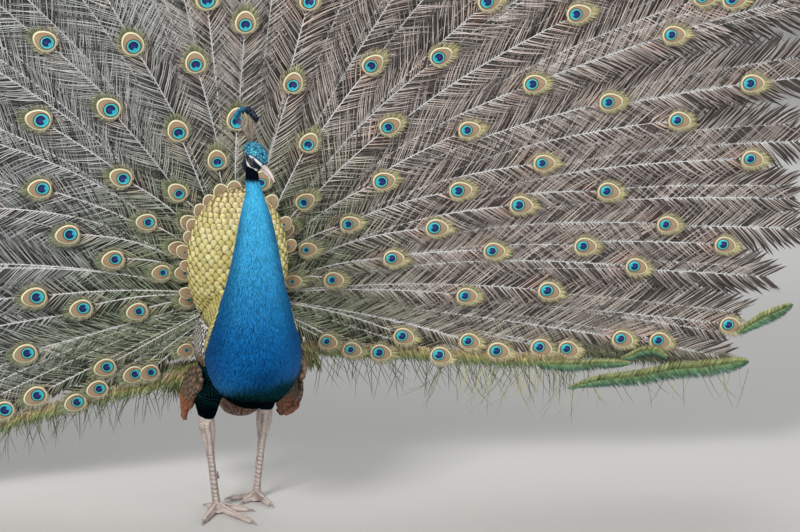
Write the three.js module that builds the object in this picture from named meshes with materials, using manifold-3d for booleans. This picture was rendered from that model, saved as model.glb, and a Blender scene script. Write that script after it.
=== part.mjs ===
// A life-size peacock (male Indian peafowl) standing with its train raised in a full fan.
// Millimetres, +Z up. The bird faces -Y, so its own left side is +X. Z = 0 is the ground under its soles.
import * as THREE from "three";
import { mergeVertices } from "three/addons/utils/BufferGeometryUtils.js";
import Module from "manifold-3d";

const wasm = await Module();
wasm.setup();

// ---------- driving dimensions ----------
const GAP = 0.35; // clearance between neighbouring pieces
const rad = THREE.MathUtils.degToRad;

// Body outline in the sagittal plane: [under or front point y, z], [back point y, z], half width, sideways shift
const BODY_SECTIONS = [
  { under: [222, 352], back: [228, 382], half: 18, shift: 0 }, // rump
  { under: [172, 300], back: [190, 410], half: 60, shift: 2 },
  { under: [112, 256], back: [120, 424], half: 78, shift: 8 },
  { under: [40, 228], back: [50, 428], half: 86, shift: 11 },
  { under: [-32, 218], back: [-10, 426], half: 89, shift: 13 }, // belly
  { under: [-98, 232], back: [-45, 428], half: 89, shift: 13 }, // breast, its widest part
  { under: [-152, 275], back: [-70, 436], half: 84, shift: 10 },
  { under: [-186, 335], back: [-88, 450], half: 75, shift: 9 },
  { under: [-196, 395], back: [-100, 472], half: 65, shift: 10 }, // root of the neck
  { under: [-194, 450], back: [-108, 500], half: 54, shift: 11 },
  { under: [-186, 505], back: [-112, 535], half: 45, shift: 13 },
  { under: [-176, 555], back: [-112, 572], half: 36.5, shift: 14 },
  { under: [-165, 598], back: [-110, 606], half: 28, shift: 14 },
  { under: [-154, 634], back: [-107, 639], half: 18, shift: 13 },
  { under: [-146, 658], back: [-105, 664], half: 13.5, shift: 11 }, // throat
  { under: [-140, 678], back: [-104, 684], half: 12, shift: 10 },
  { under: [-132, 694], back: [-106, 699], half: 9, shift: 10 },
];
const NECK_CUTS = [430, 560]; // heights where the neck is parted from the breast and in two
const BREAST_CUT_Y = -62; // the breast is in front of this plane, the trunk behind it

// Head: the point midway between the eyes, how far it turns to the bird's left and how far it looks down
const HEAD = { at: [20, -122, 700], yaw: rad(36), pitch: rad(25) };
const EYE = { radius: 6, aside: 12.6 };
const BILL_TIP = [55, -11.5]; // forwards and up from the point midway between the eyes
const CREST = { stems: 11, from: rad(6), to: rad(58), front: 43, long: 54 };

// Train: the fan's root on the back, its lean forwards, how far its rim bows forwards, and its reach
const FAN = { root: [5, 120, 400], lean: rad(12), dish: 90, reach: 1290, hub: 70 };
const FAN_FROM = rad(-1); // lower edge on the bird's left
const FAN_TO = rad(192.5); // lower edge on the bird's right, which droops further
const EDGE_DROP = 162; // the lateral feathers start this far below the fan's root
const SECTORS = 16;
const TRAIN_THICK = 1.4;

// Legs: hock and ankle of each, and the ground points of its toe tips, inner, middle, outer and hind
const LEGS = {
  right: {
    knee: [-65, 12, 262], hock: [-71, 4, 178], ankle: [-55, 11, 13],
    toes: [[16.5, -14], [11, -88], [-90, -72], [-80, 38]],
  },
  left: {
    knee: [50, 48, 262], hock: [42.5, 44, 178], ankle: [26, 66, 13],
    toes: [[-38, 59], [-11, 26], [52, 0], [38, 104]],
  },
};
const CLAW = 15;

// ---------- materials ----------
const paint = (color, roughness, metalness = 0) =>
  new THREE.MeshStandardMaterial({ color, roughness, metalness });
const LOOK = {
  blue: paint(0x0a5fb4, 0.45, 0.2),
  crown: paint(0x1285b8, 0.4, 0.2),
  green: paint(0x0b3b3d, 0.5, 0.2),
  gold: paint(0xc9b455, 0.5, 0.1),
  bronze: paint(0x6f6a55, 0.6, 0.1),
  barred: paint(0xb9b09a, 0.7),
  chestnut: paint(0x8a4a25, 0.7),
  brown: paint(0x6a5d4e, 0.8),
  skin: paint(0xbfb4a6, 0.65),
  horn: paint(0xcfc2b8, 0.4),
  claw: paint(0x6e6257, 0.4),
  eye: paint(0x1a120c, 0.1),
};

// ---------- solids ----------
function solid(geometry) {
  const bare = geometry.clone();
  bare.deleteAttribute("normal");
  bare.deleteAttribute("uv");
  const merged = mergeVertices(bare, 1e-4);
  const triVerts = new Uint32Array(merged.index.array);
  const build = () =>
    new wasm.Manifold(
      new wasm.Mesh({ numProp: 3, vertProperties: merged.attributes.position.array, triVerts }),
    );
  let made = build();
  if (made.volume() < 0) {
    for (let i = 0; i < triVerts.length; i += 3)
      [triVerts[i + 1], triVerts[i + 2]] = [triVerts[i + 2], triVerts[i + 1]];
    made = build();
  }
  return made;
}

// The largest body of a solid, so that a cut leaves no crumbs
const largest = (made) =>
  made.decompose().reduce((a, b) => (b.volume() > a.volume() ? b : a));

const peacock = new THREE.Group();

function add(name, made, material) {
  const { vertProperties, triVerts } = largest(made).getMesh();
  const geometry = new THREE.BufferGeometry()
    .setAttribute("position", new THREE.BufferAttribute(new Float32Array(vertProperties), 3))
    .setIndex(new THREE.BufferAttribute(new Uint32Array(triVerts), 1));
  geometry.computeVertexNormals();
  const mesh = new THREE.Mesh(geometry, material);
  mesh.name = name;
  peacock.add(mesh);
}

// Keeps what lies on the side of a plane that its normal points to
const keep = (made, normal, offset) => made.trimByPlane(normal, offset);

// A sphere whose rings are moved onto elliptical sections. at(t) gives each section's centre
// and its two half axes as vectors, for t from 0 to 1. The ends close as domes.
function rounded(at, { around = 16, along = 10, dome = 0.12 } = {}) {
  const geometry = new THREE.SphereGeometry(1, around, along);
  const position = geometry.attributes.position;
  const p = new THREE.Vector3();
  for (let i = 0; i < position.count; i++) {
    p.fromBufferAttribute(position, i);
    const t = Math.acos(THREE.MathUtils.clamp(p.y, -1, 1)) / Math.PI;
    const turn = Math.atan2(p.z, p.x);
    const nearest = Math.min(t, 1 - t, dome) / dome;
    const shrink = Math.sqrt(Math.max(0, 1 - (1 - nearest) ** 2));
    const { centre, side, up } = at(t);
    p.copy(centre)
      .addScaledVector(side, Math.cos(turn) * shrink)
      .addScaledVector(up, Math.sin(turn) * shrink);
    position.setXYZ(i, p.x, p.y, p.z);
  }
  return solid(geometry);
}

// A limb or leaf: rounded sections along a smooth spine. stations: [x, y, z, half width, half depth]
function limb(stations, { grow = 0, flat = [1, 0, 0], ...mesh } = {}) {
  const spine = new THREE.CatmullRomCurve3(stations.map((s) => new THREE.Vector3(...s)));
  const size = new THREE.CatmullRomCurve3(stations.map((s) => new THREE.Vector3(s[3], s[4], 0)));
  return rounded((t) => {
    const tangent = spine.getTangent(t);
    const up = tangent.clone().cross(new THREE.Vector3(...flat)).normalize();
    const side = up.clone().cross(tangent).normalize();
    const { x: wide, y: deep } = size.getPoint(t);
    return {
      centre: spine.getPoint(t),
      side: side.multiplyScalar(wide + grow),
      up: up.multiplyScalar(deep + grow),
    };
  }, mesh);
}

// ---------- body and neck ----------
function body(grow = 0) {
  const line = (pick) =>
    new THREE.CatmullRomCurve3(BODY_SECTIONS.map((s) => new THREE.Vector3(...pick(s))));
  const under = line((s) => [s.shift, ...s.under]);
  const back = line((s) => [s.shift, ...s.back]);
  const half = line((s) => [s.half, 0, 0]);
  return rounded(
    (t) => {
      const low = under.getPoint(t);
      const high = back.getPoint(t);
      const up = high.clone().sub(low).multiplyScalar(0.5);
      return {
        centre: low.add(high).multiplyScalar(0.5),
        side: new THREE.Vector3(half.getPoint(t).x + grow, 0, 0),
        up: up.setLength(up.length() + grow),
      };
    },
    { around: 18, along: 28, dome: 0.06 },
  );
}

const wholeBody = body();
const aroundBody = body(GAP);

// ---------- head ----------
const headTurn = new THREE.Matrix4().makeBasis(
  new THREE.Vector3(Math.cos(HEAD.yaw), Math.sin(HEAD.yaw), 0),
  new THREE.Vector3(-Math.sin(HEAD.yaw), Math.cos(HEAD.yaw), 0),
  new THREE.Vector3(0, 0, 1),
);
headTurn.multiply(new THREE.Matrix4().makeRotationX(HEAD.pitch));
headTurn.setPosition(...HEAD.at);

// A point of the head's own frame: left, forwards, up
const onHead = (left, forward, up) =>
  new THREE.Vector3(left, -forward, up).applyMatrix4(headTurn).toArray();

function headLimb(stations, options = {}) {
  const flat = new THREE.Vector3(1, 0, 0).transformDirection(headTurn).toArray();
  return limb(stations.map(([x, y, z, a, b]) => [...onHead(x, y, z), a, b]), { flat, ...options });
}

// Skull from the nape to the base of the bill, as deep as its crown and cheek feathers
const skull = (grow = 0) =>
  headLimb(
    [
      [0, -34, 3, 8, 8],
      [0, -23, 6, 15.5, 17],
      [0, -7, 5, 18.8, 21],
      [0, 8, 0.5, 16.6, 17.5],
      [0, 21, -4, 8, 9.5],
    ],
    { grow, around: 14, along: 9, dome: 0.16 },
  );

// Cheeks and throat, below and behind the skull
const throat = (grow = 0) =>
  headLimb([[0, -26, -15, 11, 11], [0, -9, -18, 16, 15], [0, 8, -14, 9, 7]], {
    grow, around: 12, along: 6, dome: 0.2,
  });

const eyeBall = (sign, grow = 0) => {
  const ball = new THREE.SphereGeometry(EYE.radius + grow, 10, 7);
  ball.translate(...onHead(sign * EYE.aside, 1, 0));
  return solid(ball);
};

// The bill's two halves: curved cones, the upper one longer and hooked over the lower
const [tipOut, tipUp] = BILL_TIP;
const billHalf = (upper) =>
  headLimb(
    upper
      ? [
          [0, 12, -2, 5.8, 5.2],
          [0, 0.42 * tipOut, -2.3, 4.9, 4.6],
          [0, 0.75 * tipOut, -5, 3.4, 3.4],
          [0, tipOut, tipUp, 0.9, 1.2],
        ]
      : [
          [0, 12, -9.5, 5.6, 2.8],
          [0, 0.42 * tipOut, -9.4, 4.8, 2.6],
          [0, 0.68 * tipOut, -10.6, 3.1, 1.8],
          [0, 0.86 * tipOut, tipUp, 0.8, 0.7],
        ],
    { around: 10, along: 7, dome: 0.1 },
  );

// Bare stems that stand on the back of the crown in a fan, each with a small vane at its tip
function crest() {
  const pieces = [];
  for (let i = 0; i < CREST.stems; i++) {
    const share = i / (CREST.stems - 1);
    const back = CREST.from + share * (CREST.to - CREST.from);
    const long = CREST.front + (CREST.long - CREST.front) * Math.sin(Math.PI * Math.min(0.5, share));
    const aside = i % 2 ? 0.6 : -0.6;
    const point = (d) =>
      new THREE.Vector3(
        ...onHead(aside * (1 + d / 25), -22 - 10 * share - d * Math.sin(back), 22 + d * Math.cos(back)),
      );
    const along = new THREE.Vector3(0, 1, 0);
    const direction = point(1).sub(point(0)).normalize();
    const place = (geometry, d) => {
      geometry.applyQuaternion(new THREE.Quaternion().setFromUnitVectors(along, direction));
      const at = point(d);
      pieces.push(solid(geometry.translate(at.x, at.y, at.z)));
    };
    place(new THREE.CylinderGeometry(0.6, 1, long * 0.86, 3), long * 0.43);
    place(new THREE.SphereGeometry(1, 5, 4).scale(1.6, 7.5, 4.2), long - 7);
  }
  pieces.push(headLimb([[0, -33, 20, 3, 4], [0, -20, 24, 3, 4]], { around: 6, along: 3 }));
  return pieces.reduce((a, b) => a.add(b));
}

const eyes = { left: eyeBall(1), right: eyeBall(-1) };
const bigEyes = eyeBall(1, GAP).add(eyeBall(-1, GAP));
const aroundSkull = skull(GAP).add(throat(GAP));
const upperBill = billHalf(true).subtract(aroundSkull);
const lowerBill = billHalf(false).subtract(aroundSkull);
add("head", skull().add(throat()).subtract(bigEyes), LOOK.crown);
add("bill_upper", upperBill, LOOK.horn);
add("bill_lower", lowerBill.subtract(billHalf(true)), LOOK.horn);
add("eye_left", eyes.left, LOOK.eye);
add("eye_right", eyes.right, LOOK.eye);
add("crest", crest().subtract(aroundSkull), LOOK.crown);

const neck = wholeBody.subtract(aroundSkull).subtract(bigEyes);
const [neckRoot, neckMiddle] = NECK_CUTS;
add("neck_upper", keep(neck, [0, 0, 1], neckMiddle + GAP), LOOK.blue);
add(
  "neck_lower",
  keep(keep(neck, [0, 0, 1], neckRoot + GAP), [0, 0, -1], -neckMiddle),
  LOOK.blue,
);

// ---------- legs and feet ----------
// The top of a thigh leans in towards the breast, so that the two flow together
function thigh({ knee, hock }, grow = 0) {
  const inward = -Math.sign(knee[0]);
  const between = (t, lean) =>
    knee.map((k, i) => k + (hock[i] - k) * t + (i === 0 ? inward * lean : 0));
  return limb(
    [
      [...between(-0.75, 20), 16, 34],
      [...between(-0.44, 15), 26, 46],
      [...between(-0.12, 8), 32, 48],
      [...between(0.14, 4), 32, 43],
      [...between(0.38, 0), 28, 34],
      [...between(0.75, 0), 19, 22],
      [...between(0.98, 0), 12.5, 14],
    ],
    { grow, around: 10, along: 8 },
  );
}

function shank({ hock, ankle }, grow = 0) {
  const between = (t) => hock.map((h, i) => h + (ankle[i] - h) * t);
  return limb(
    [
      [...between(-0.2), 11, 12],
      [...between(0), 15.5, 15],
      [...between(0.16), 13.5, 13],
      [...between(0.34), 8.6, 10],
      [...between(0.6), 7.4, 8.4],
      [...between(0.88), 7.6, 8.6],
      [...between(1), 9, 9],
    ],
    { grow, around: 10, along: 12, dome: 0.06 },
  );
}

// One toe from the ankle's pad to the root of its claw, with a swelling over each joint
function toe(ankle, tip, grow = 0) {
  const length = Math.hypot(tip[0] - ankle[0], tip[1] - ankle[1]);
  const reach = 1 - CLAW / length;
  const at = (share, height, radius) => [
    ankle[0] + (tip[0] - ankle[0]) * share * reach,
    ankle[1] + (tip[1] - ankle[1]) * share * reach,
    height,
    radius,
    radius,
  ];
  return limb(
    [at(0, 9, 9.2), at(0.25, 7, 7.4), at(0.5, 5.6, 6.6), at(0.75, 5, 5.8), at(1, 4.2, 4.8)],
    { grow, flat: [0, 0, 1], around: 8, along: 5, dome: 0.1 },
  );
}

function claw(ankle, tip) {
  const length = Math.hypot(tip[0] - ankle[0], tip[1] - ankle[1]);
  const at = (back, height, radius) => {
    const share = 1 - back / length;
    return [
      ankle[0] + (tip[0] - ankle[0]) * share,
      ankle[1] + (tip[1] - ankle[1]) * share,
      height,
      radius,
      radius,
    ];
  };
  return limb([at(CLAW + 1, 4.4, 2.8), at(CLAW * 0.55, 5, 2.3), at(0, 1.6, 0.7)], {
    flat: [0, 0, 1], around: 5, along: 4,
  });
}

const aboveGround = (made) => keep(made, [0, 0, 1], 0);
const hocksAround = [];
for (const [side, leg] of Object.entries(LEGS)) {
  const whole = thigh(leg);
  hocksAround.push(thigh(leg, GAP));
  add("thigh_" + side, whole.subtract(aroundBody), LOOK.green);
  const spur = limb(
    [
      [leg.ankle[0] + 4, leg.ankle[1] + 6, 62, 3.4, 3.4],
      [leg.ankle[0] + 5, leg.ankle[1] + 17, 64, 2.2, 2.2],
      [leg.ankle[0] + 5, leg.ankle[1] + 26, 69, 0.8, 0.8],
    ],
 { around: 6, along: 4 },
  );
  add("shank_" + side, shank(leg).subtract(thigh(leg, GAP)).subtract(aroundBody), LOOK.skin);
  add("spur_" + side, spur.subtract(shank(leg, GAP)), LOOK.horn);
  const pad = new THREE.SphereGeometry(9.5, 8, 6).translate(leg.ankle[0], leg.ankle[1], 7.5);
  const toes = leg.toes.map((tip) => toe(leg.ankle, tip)).reduce((a, b) => a.add(b), solid(pad));
  add("foot_" + side, aboveGround(toes.subtract(shank(leg, GAP))), LOOK.skin);
  leg.toes.forEach((tip, i) => {
    const around = toe(leg.ankle, tip, GAP);
    const name = ["inner", "middle", "outer", "hind"][i];
    add("claw_" + side + "_" + name, aboveGround(claw(leg.ankle, tip).subtract(around)), LOOK.claw);
  });
}

// ---------- wings ----------
// The wings droop at the bird's sides: a leaf of coverts, and the flight feathers that hang below it.
// Stations of each: x, y, z, half thickness, half depth
const WINGS = {
  left: {
    coverts: [
      [96, -58, 290, 7, 12],
      [106, -30, 288, 8, 24],
      [108, 22, 280, 8, 30],
      [101, 82, 268, 6, 30],
      [92, 122, 256, 3, 18],
    ],
    flight: [
      [104, -24, 262, 4, 14],
      [106, 8, 242, 5, 26],
      [100, 58, 214, 5, 32],
      [88, 104, 182, 3.5, 26],
      [78, 128, 162, 1.6, 12],
    ],
  },
  right: {
    coverts: [
      [-58, -70, 345, 9, 18],
      [-70, -40, 338, 9, 36],
      [-76, 22, 328, 8, 42],
      [-79, 82, 310, 6, 38],
      [-80, 122, 290, 3, 22],
    ],
    flight: [
      [-80, -34, 284, 4, 12],
      [-90, 4, 260, 5, 26],
      [-101, 50, 228, 5, 34],
      [-108, 92, 192, 4, 32],
      [-106, 120, 166, 2, 16],
    ],
  },
};
const wing = (side, grow = 0) =>
  limb(WINGS[side].coverts, { grow, around: 12, along: 7, dome: 0.1 });
const flight = (side, grow = 0) =>
  limb(WINGS[side].flight, { grow, around: 10, along: 7, dome: 0.1 });

const wings = {};
const aroundThighs = hocksAround.reduce((a, b) => a.add(b));
for (const side of ["left", "right"]) {
  wings[side] = wing(side, GAP).add(flight(side, GAP));
  const around = aroundBody.add(aroundThighs);
  const feathers = flight(side).subtract(around).subtract(wing(side, GAP));
  add("wing_" + side, wing(side).subtract(around), LOOK.barred);
  add("flight_feathers_" + side, feathers, LOOK.chestnut);
}

// The soft feathers that hang below the root of the tail, behind the legs
function vent(grow = 0) {
  return limb(
    [
      [4, 196, 330, 46, 26],
      [4, 176, 270, 60, 44],
      [5, 150, 210, 54, 38],
      [8, 126, 148, 36, 20],
    ],
    { grow, around: 12, along: 7, dome: 0.14 },
  );
}

// ---------- train ----------
// 0 above the middle of the fan, 1 at its lower edges
function edge(angle) {
  const middle = (FAN_FROM + FAN_TO) / 2;
  const away = (Math.abs(angle - middle) - rad(50)) / (middle - FAN_FROM - rad(50));
  return THREE.MathUtils.smoothstep(away, 0, 1);
}

// How far the longest feathers reach at an angle: full length above, shorter at the lower edges
function reach(angle) {
  const left = 1 - THREE.MathUtils.smoothstep(angle, FAN_FROM, rad(38));
  const right = THREE.MathUtils.smoothstep(angle, rad(158), FAN_TO);
  return FAN.reach - 290 * left - 440 * right;
}

// A point of the fan: angle from the bird's left, distance from the root, and height over the fan's face
function onFan(angle, distance, proud = 0) {
  const across = distance * Math.cos(angle);
  const high = distance * Math.sin(angle) - EDGE_DROP * edge(angle);
  const forward = FAN.dish * (distance / FAN.reach) ** 2 + proud;
  return new THREE.Vector3(
    FAN.root[0] + across,
    FAN.root[1] - high * Math.sin(FAN.lean) - forward * Math.cos(FAN.lean),
    FAN.root[2] + high * Math.cos(FAN.lean) - forward * Math.sin(FAN.lean),
  );
}

// A thin bent plate of the fan between two angles, with a pointed lobe for each feather tip.
// Its straight sides keep half a gap clear of the two angles.
function plate(from, to, { inner, outer, thick, behind = 0, lobes = 3, rings = 2, notch = 0.035 }) {
  const steps = lobes * 2;
  const geometry = new THREE.BoxGeometry(1, 1, 1, steps, rings, 1);
  const position = geometry.attributes.position;
  for (let i = 0; i < position.count; i++) {
    const step = Math.round((position.getX(i) + 0.5) * steps);
    const angle = from + ((to - from) * step) / steps;
    const tip = outer(angle) * (step % 2 ? 1 : 1 - notch);
    const distance = inner + (tip - inner) * (position.getY(i) + 0.5);
    const clear = step === 0 ? GAP / 2 : step === steps ? -GAP / 2 : 0;
    const p = onFan(angle + clear / distance, distance, position.getZ(i) * thick - behind);
    position.setXYZ(i, p.x, p.y, p.z);
  }
  return solid(geometry);
}

// The mantle: a mound of short golden scale feathers over the train's root
function mantle(grow = 0) {
  const mound = new THREE.SphereGeometry(1, 16, 10);
  mound.scale(98 + grow, 46 + grow, 158 + grow);
  mound.rotateX(FAN.lean);
  const at = onFan(rad(90), 74, 26);
  mound.translate(at.x - 6, at.y, at.z);
  return solid(mound);
}

const aroundTrunk = [aroundBody, wings.left, wings.right, aroundThighs].reduce((a, b) => a.add(b));
add("vent", vent().subtract(aroundTrunk), LOOK.brown);
add("mantle", mantle().subtract(aroundTrunk).subtract(vent(GAP)), LOOK.gold);

const aroundRoot = aroundTrunk.add(mantle(GAP)).add(vent(GAP));
const sectorAngle = (FAN_TO - FAN_FROM) / SECTORS;
for (let i = 0; i < SECTORS; i++) {
  const from = FAN_FROM + i * sectorAngle;
  const sector = plate(from, from + sectorAngle, { inner: FAN.hub, outer: reach, thick: TRAIN_THICK });
  add("train_" + String(i + 1).padStart(2, "0"), sector.subtract(aroundRoot), LOOK.bronze);
}

// ---------- tail ----------
// Twenty stiff feathers behind the train hold it up. They lie in four groups of five.
const TAIL = { groups: 4, reach: 400, behind: 16, thick: 2, from: rad(16), to: rad(164) };
const tailAngle = (TAIL.to - TAIL.from) / TAIL.groups;
for (let i = 0; i < TAIL.groups; i++) {
  const from = TAIL.from + i * tailAngle;
  const group = plate(from, from + tailAngle, {
    inner: FAN.hub, outer: () => TAIL.reach, thick: TAIL.thick, behind: TAIL.behind, lobes: 5, rings: 1,
  });
  add("tail_" + (i + 1), group.subtract(aroundRoot), LOOK.brown);
}

// ---------- trunk and breast ----------
// They are cut clear of nothing: wings, thighs and train were cut clear of them
const torso = keep(wholeBody, [0, 0, -1], -neckRoot);
add("breast", keep(torso, [0, -1, 0], -BREAST_CUT_Y), LOOK.blue);
add("trunk", keep(torso, [0, 1, 0], BREAST_CUT_Y + GAP), LOOK.green);

// The origin is on the ground under the middle of the fan's and the body's whole outline
const box = new THREE.Box3().setFromObject(peacock);
const middle = box.getCenter(new THREE.Vector3());
peacock.position.set(-middle.x, -middle.y, -box.min.z);

export default peacock;
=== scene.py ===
import math
import bmesh
import bpy
import numpy as np
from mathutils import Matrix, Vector
from mathutils.bvhtree import BVHTree


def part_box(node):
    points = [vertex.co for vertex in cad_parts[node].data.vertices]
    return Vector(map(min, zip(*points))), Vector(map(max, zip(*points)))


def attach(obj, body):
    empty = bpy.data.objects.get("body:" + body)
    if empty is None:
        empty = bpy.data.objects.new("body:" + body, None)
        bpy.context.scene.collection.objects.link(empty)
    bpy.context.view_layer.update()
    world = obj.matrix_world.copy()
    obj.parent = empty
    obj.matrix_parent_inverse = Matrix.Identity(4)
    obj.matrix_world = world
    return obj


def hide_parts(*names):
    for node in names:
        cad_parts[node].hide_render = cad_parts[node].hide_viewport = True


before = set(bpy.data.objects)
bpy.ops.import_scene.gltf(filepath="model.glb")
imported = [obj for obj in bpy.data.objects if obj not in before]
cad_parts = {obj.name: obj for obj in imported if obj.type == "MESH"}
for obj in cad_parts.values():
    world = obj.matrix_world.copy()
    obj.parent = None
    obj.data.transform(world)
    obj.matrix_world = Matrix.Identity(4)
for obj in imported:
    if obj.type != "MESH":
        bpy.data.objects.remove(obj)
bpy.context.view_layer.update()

rng = np.random.default_rng(7)
rad = math.radians

# ---------- Floor, light and camera ----------
# A pale studio floor that runs on as the backdrop, one broad soft key from the front left and above, a weak
# fill and a light from behind. The camera stands at a person's height, a little to the bird's right.
MM = 0.001
EYE_MIDDLE = np.array([20.0, -122.0, 700.0]) * MM  # midway between the eyes, from the point under the breast
HEAD_YAW, HEAD_PITCH = rad(36), rad(25)
EYE_ASIDE = 12.6 * MM
left_way = np.array([math.cos(HEAD_YAW), math.sin(HEAD_YAW), 0])
ahead_way = np.array([math.sin(HEAD_YAW) * math.cos(HEAD_PITCH),
                      -math.cos(HEAD_YAW) * math.cos(HEAD_PITCH), -math.sin(HEAD_PITCH)])
up_way = np.cross(ahead_way, left_way)
eye_low, eye_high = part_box("eye_left")
SHIFT = (np.array(eye_low) + np.array(eye_high)) / 2 - (
    EYE_MIDDLE + left_way * EYE_ASIDE + ahead_way * MM)  # from the bird's own frame to the model's
SHIFT[2] = 0

CAMERA_PLACE, CAMERA_DOWN, CAMERA_TURN = (-0.3486, -3.985, 1.45), 13.7, -9.19
CAMERA_LENS, FILM_WIDTH = 100, 36
camera_data = bpy.data.cameras.new("camera")
camera_data.lens, camera_data.sensor_width = CAMERA_LENS, FILM_WIDTH
camera = bpy.data.objects.new("camera", camera_data)
bpy.context.scene.collection.objects.link(camera)
camera.location = Vector(CAMERA_PLACE) + Vector(SHIFT)
camera.rotation_euler = (rad(90 - CAMERA_DOWN), 0, rad(CAMERA_TURN))
bpy.context.scene.camera = camera


def new_paint(name):
    """A new material, its node tree and its shader."""
    material = bpy.data.materials.new(name)
    material.use_nodes = True
    return material, material.node_tree, material.node_tree.nodes["Principled BSDF"]


FLOOR_TONE = (0.56, 0.55, 0.53)
floor_paint, tree, shader = new_paint("floor_paint")
grain = tree.nodes.new("ShaderNodeTexNoise")
grain.inputs["Scale"].default_value = 3
ramp = tree.nodes.new("ShaderNodeValToRGB")
ramp.color_ramp.elements[0].color = (*[c * 0.96 for c in FLOOR_TONE], 1)
ramp.color_ramp.elements[1].color = (*FLOOR_TONE, 1)
tree.links.new(grain.outputs["Fac"], ramp.inputs["Fac"])
tree.links.new(ramp.outputs["Color"], shader.inputs["Base Color"])
shader.inputs["Roughness"].default_value = 0.9
bm = bmesh.new()
bmesh.ops.create_grid(bm, x_segments=2, y_segments=2, size=14)
floor_mesh = bpy.data.meshes.new("floor")
bm.to_mesh(floor_mesh)
bm.free()
floor = bpy.data.objects.new("floor", floor_mesh)
bpy.context.scene.collection.objects.link(floor)
floor_mesh.materials.append(floor_paint)


def area_light(name, at, size, power, colour=(1, 1, 1)):
    """A soft rectangular light that looks at the middle of the bird."""
    data = bpy.data.lights.new(name, "AREA")
    data.shape, data.size, data.size_y = "RECTANGLE", size[0], size[1]
    data.energy, data.color = power, colour
    light = bpy.data.objects.new(name, data)
    light.location = at
    light.rotation_euler = (Vector((0, 0, 0.55)) - Vector(at)).to_track_quat("-Z", "Y").to_euler()
    bpy.context.scene.collection.objects.link(light)


area_light("key", (-2.6, -3.4, 4.0), (1.6, 1.6), 235, (1, 0.98, 0.95))
area_light("fill", (3.4, -2.6, 1.6), (2.5, 2.0), 40, (0.95, 0.97, 1))
area_light("back", (1.0, 3.6, 3.0), (3.0, 2.0), 70)
world = bpy.data.worlds.new("studio")
world.use_nodes = True
world.node_tree.nodes["Background"].inputs["Color"].default_value = (0.90, 0.92, 0.95, 1)
world.node_tree.nodes["Background"].inputs["Strength"].default_value = 0.50
bpy.context.scene.world = world
bpy.context.scene.view_settings.view_transform = "Standard"


# ---------- Skin of the body ----------
# One closed skin runs from the face to the rump, thighs and the mound of the mantle; the bare legs join it in
# their own section. The plumage grows out of it, so it lies a feather's depth inside the bird's outline and is
# tinted as the feathers over it are.
BODY_SECTIONS = np.array([  # under or front point y, z; back point y, z; half width; sideways shift
    [222, 352, 228, 382, 18, 0], [172, 300, 190, 410, 60, 2], [112, 256, 120, 424, 78, 8],
    [40, 228, 50, 428, 86, 11], [-32, 218, -10, 426, 89, 13], [-98, 232, -45, 428, 89, 13],
    [-152, 275, -70, 436, 84, 10], [-186, 335, -88, 450, 75, 9], [-196, 395, -100, 472, 65, 10],
    [-194, 450, -108, 500, 54, 11], [-186, 505, -112, 535, 45, 13], [-176, 555, -112, 572, 36.5, 14],
    [-165, 598, -110, 606, 28, 14], [-154, 634, -107, 639, 18, 13], [-146, 658, -105, 664, 13.5, 11],
    [-140, 678, -104, 684, 12, 10], [-132, 694, -106, 699, 9, 10]], float)
FAN_ROOT = np.array([5.0, 120.0, 400.0])
FAN_LEAN, FAN_DISH, FAN_REACH = rad(12), 90.0, 1290.0
LEGS = {  # the joints' places, and where each toe's claw ends: inner, middle, outer, hind
    "right": {"knee": (-65, 12, 262), "hock": (-71, 4, 178), "ankle": (-55, 11, 13),
              "toes": [(16.5, -14), (11, -88), (-90, -72), (-80, 38)]},
    "left": {"knee": (50, 48, 262), "hock": (42.5, 44, 178), "ankle": (26, 66, 13),
             "toes": [(-38, 59), (-11, 26), (52, 0), (38, 104)]},
}


def curve(points, t):
    """A smooth line through points, for t from 0 to 1."""
    points = np.asarray(points, float)
    last = len(points) - 1
    s = np.clip(np.asarray(t, float), 0, 1) * last
    i = np.minimum(s.astype(int), last - 1)
    f = (s - i)[..., None]
    a, b, c, d = (points[np.clip(i + k, 0, last)] for k in (-1, 0, 1, 2))
    return 0.5 * (2 * b + (c - a) * f + (2 * a - 5 * b + 4 * c - d) * f ** 2 + (3 * b - a - 3 * c + d) * f ** 3)


def closing(t, dome):
    """How wide a rounded form is near its ends: 0 at the very end, 1 past the dome."""
    near = np.minimum(np.minimum(t, 1 - t), dome) / dome
    return np.sqrt(np.maximum(0, 1 - (1 - near) ** 2))


def body_surface(t, turn, grow=0.0):
    """The body's outline from the rump (t = 0) to the face (t = 1), grown outwards by so many millimetres."""
    s = curve(BODY_SECTIONS, t)
    under, back = s[..., 0:2], s[..., 2:4]
    middle, up = (under + back) / 2, (back - under) / 2
    long = np.linalg.norm(up, axis=-1, keepdims=True)
    up = up * (long + grow) / long
    close = closing(t, 0.06)
    across = np.cos(turn) * (s[..., 4] + grow) * close
    rise = (np.sin(turn) * close)[..., None] * up
    return np.stack([s[..., 5] + across, middle[..., 0] + rise[..., 0], middle[..., 1] + rise[..., 1]], -1)


def limb_surface(stations, flat=(1, 0, 0), dome=0.12):
    """A rounded limb along stations of x, y, z, half width and half depth."""
    stations = np.asarray(stations, float)
    flat = np.asarray(flat, float)

    def surface(t, turn, grow=0.0):
        t = np.asarray(t, float)
        s = curve(stations, t)
        along = curve(stations[:, :3], t + 0.004) - curve(stations[:, :3], t - 0.004)
        up = np.cross(along, flat)
        up /= np.linalg.norm(up, axis=-1, keepdims=True)
        side = np.cross(up, along)
        side /= np.linalg.norm(side, axis=-1, keepdims=True)
        close = closing(t, dome)
        wide = (np.cos(turn) * (s[..., 3] + grow) * close)[..., None]
        deep = (np.sin(turn) * (s[..., 4] + grow) * close)[..., None]
        return s[..., :3] + side * wide + up * deep
    return surface


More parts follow.
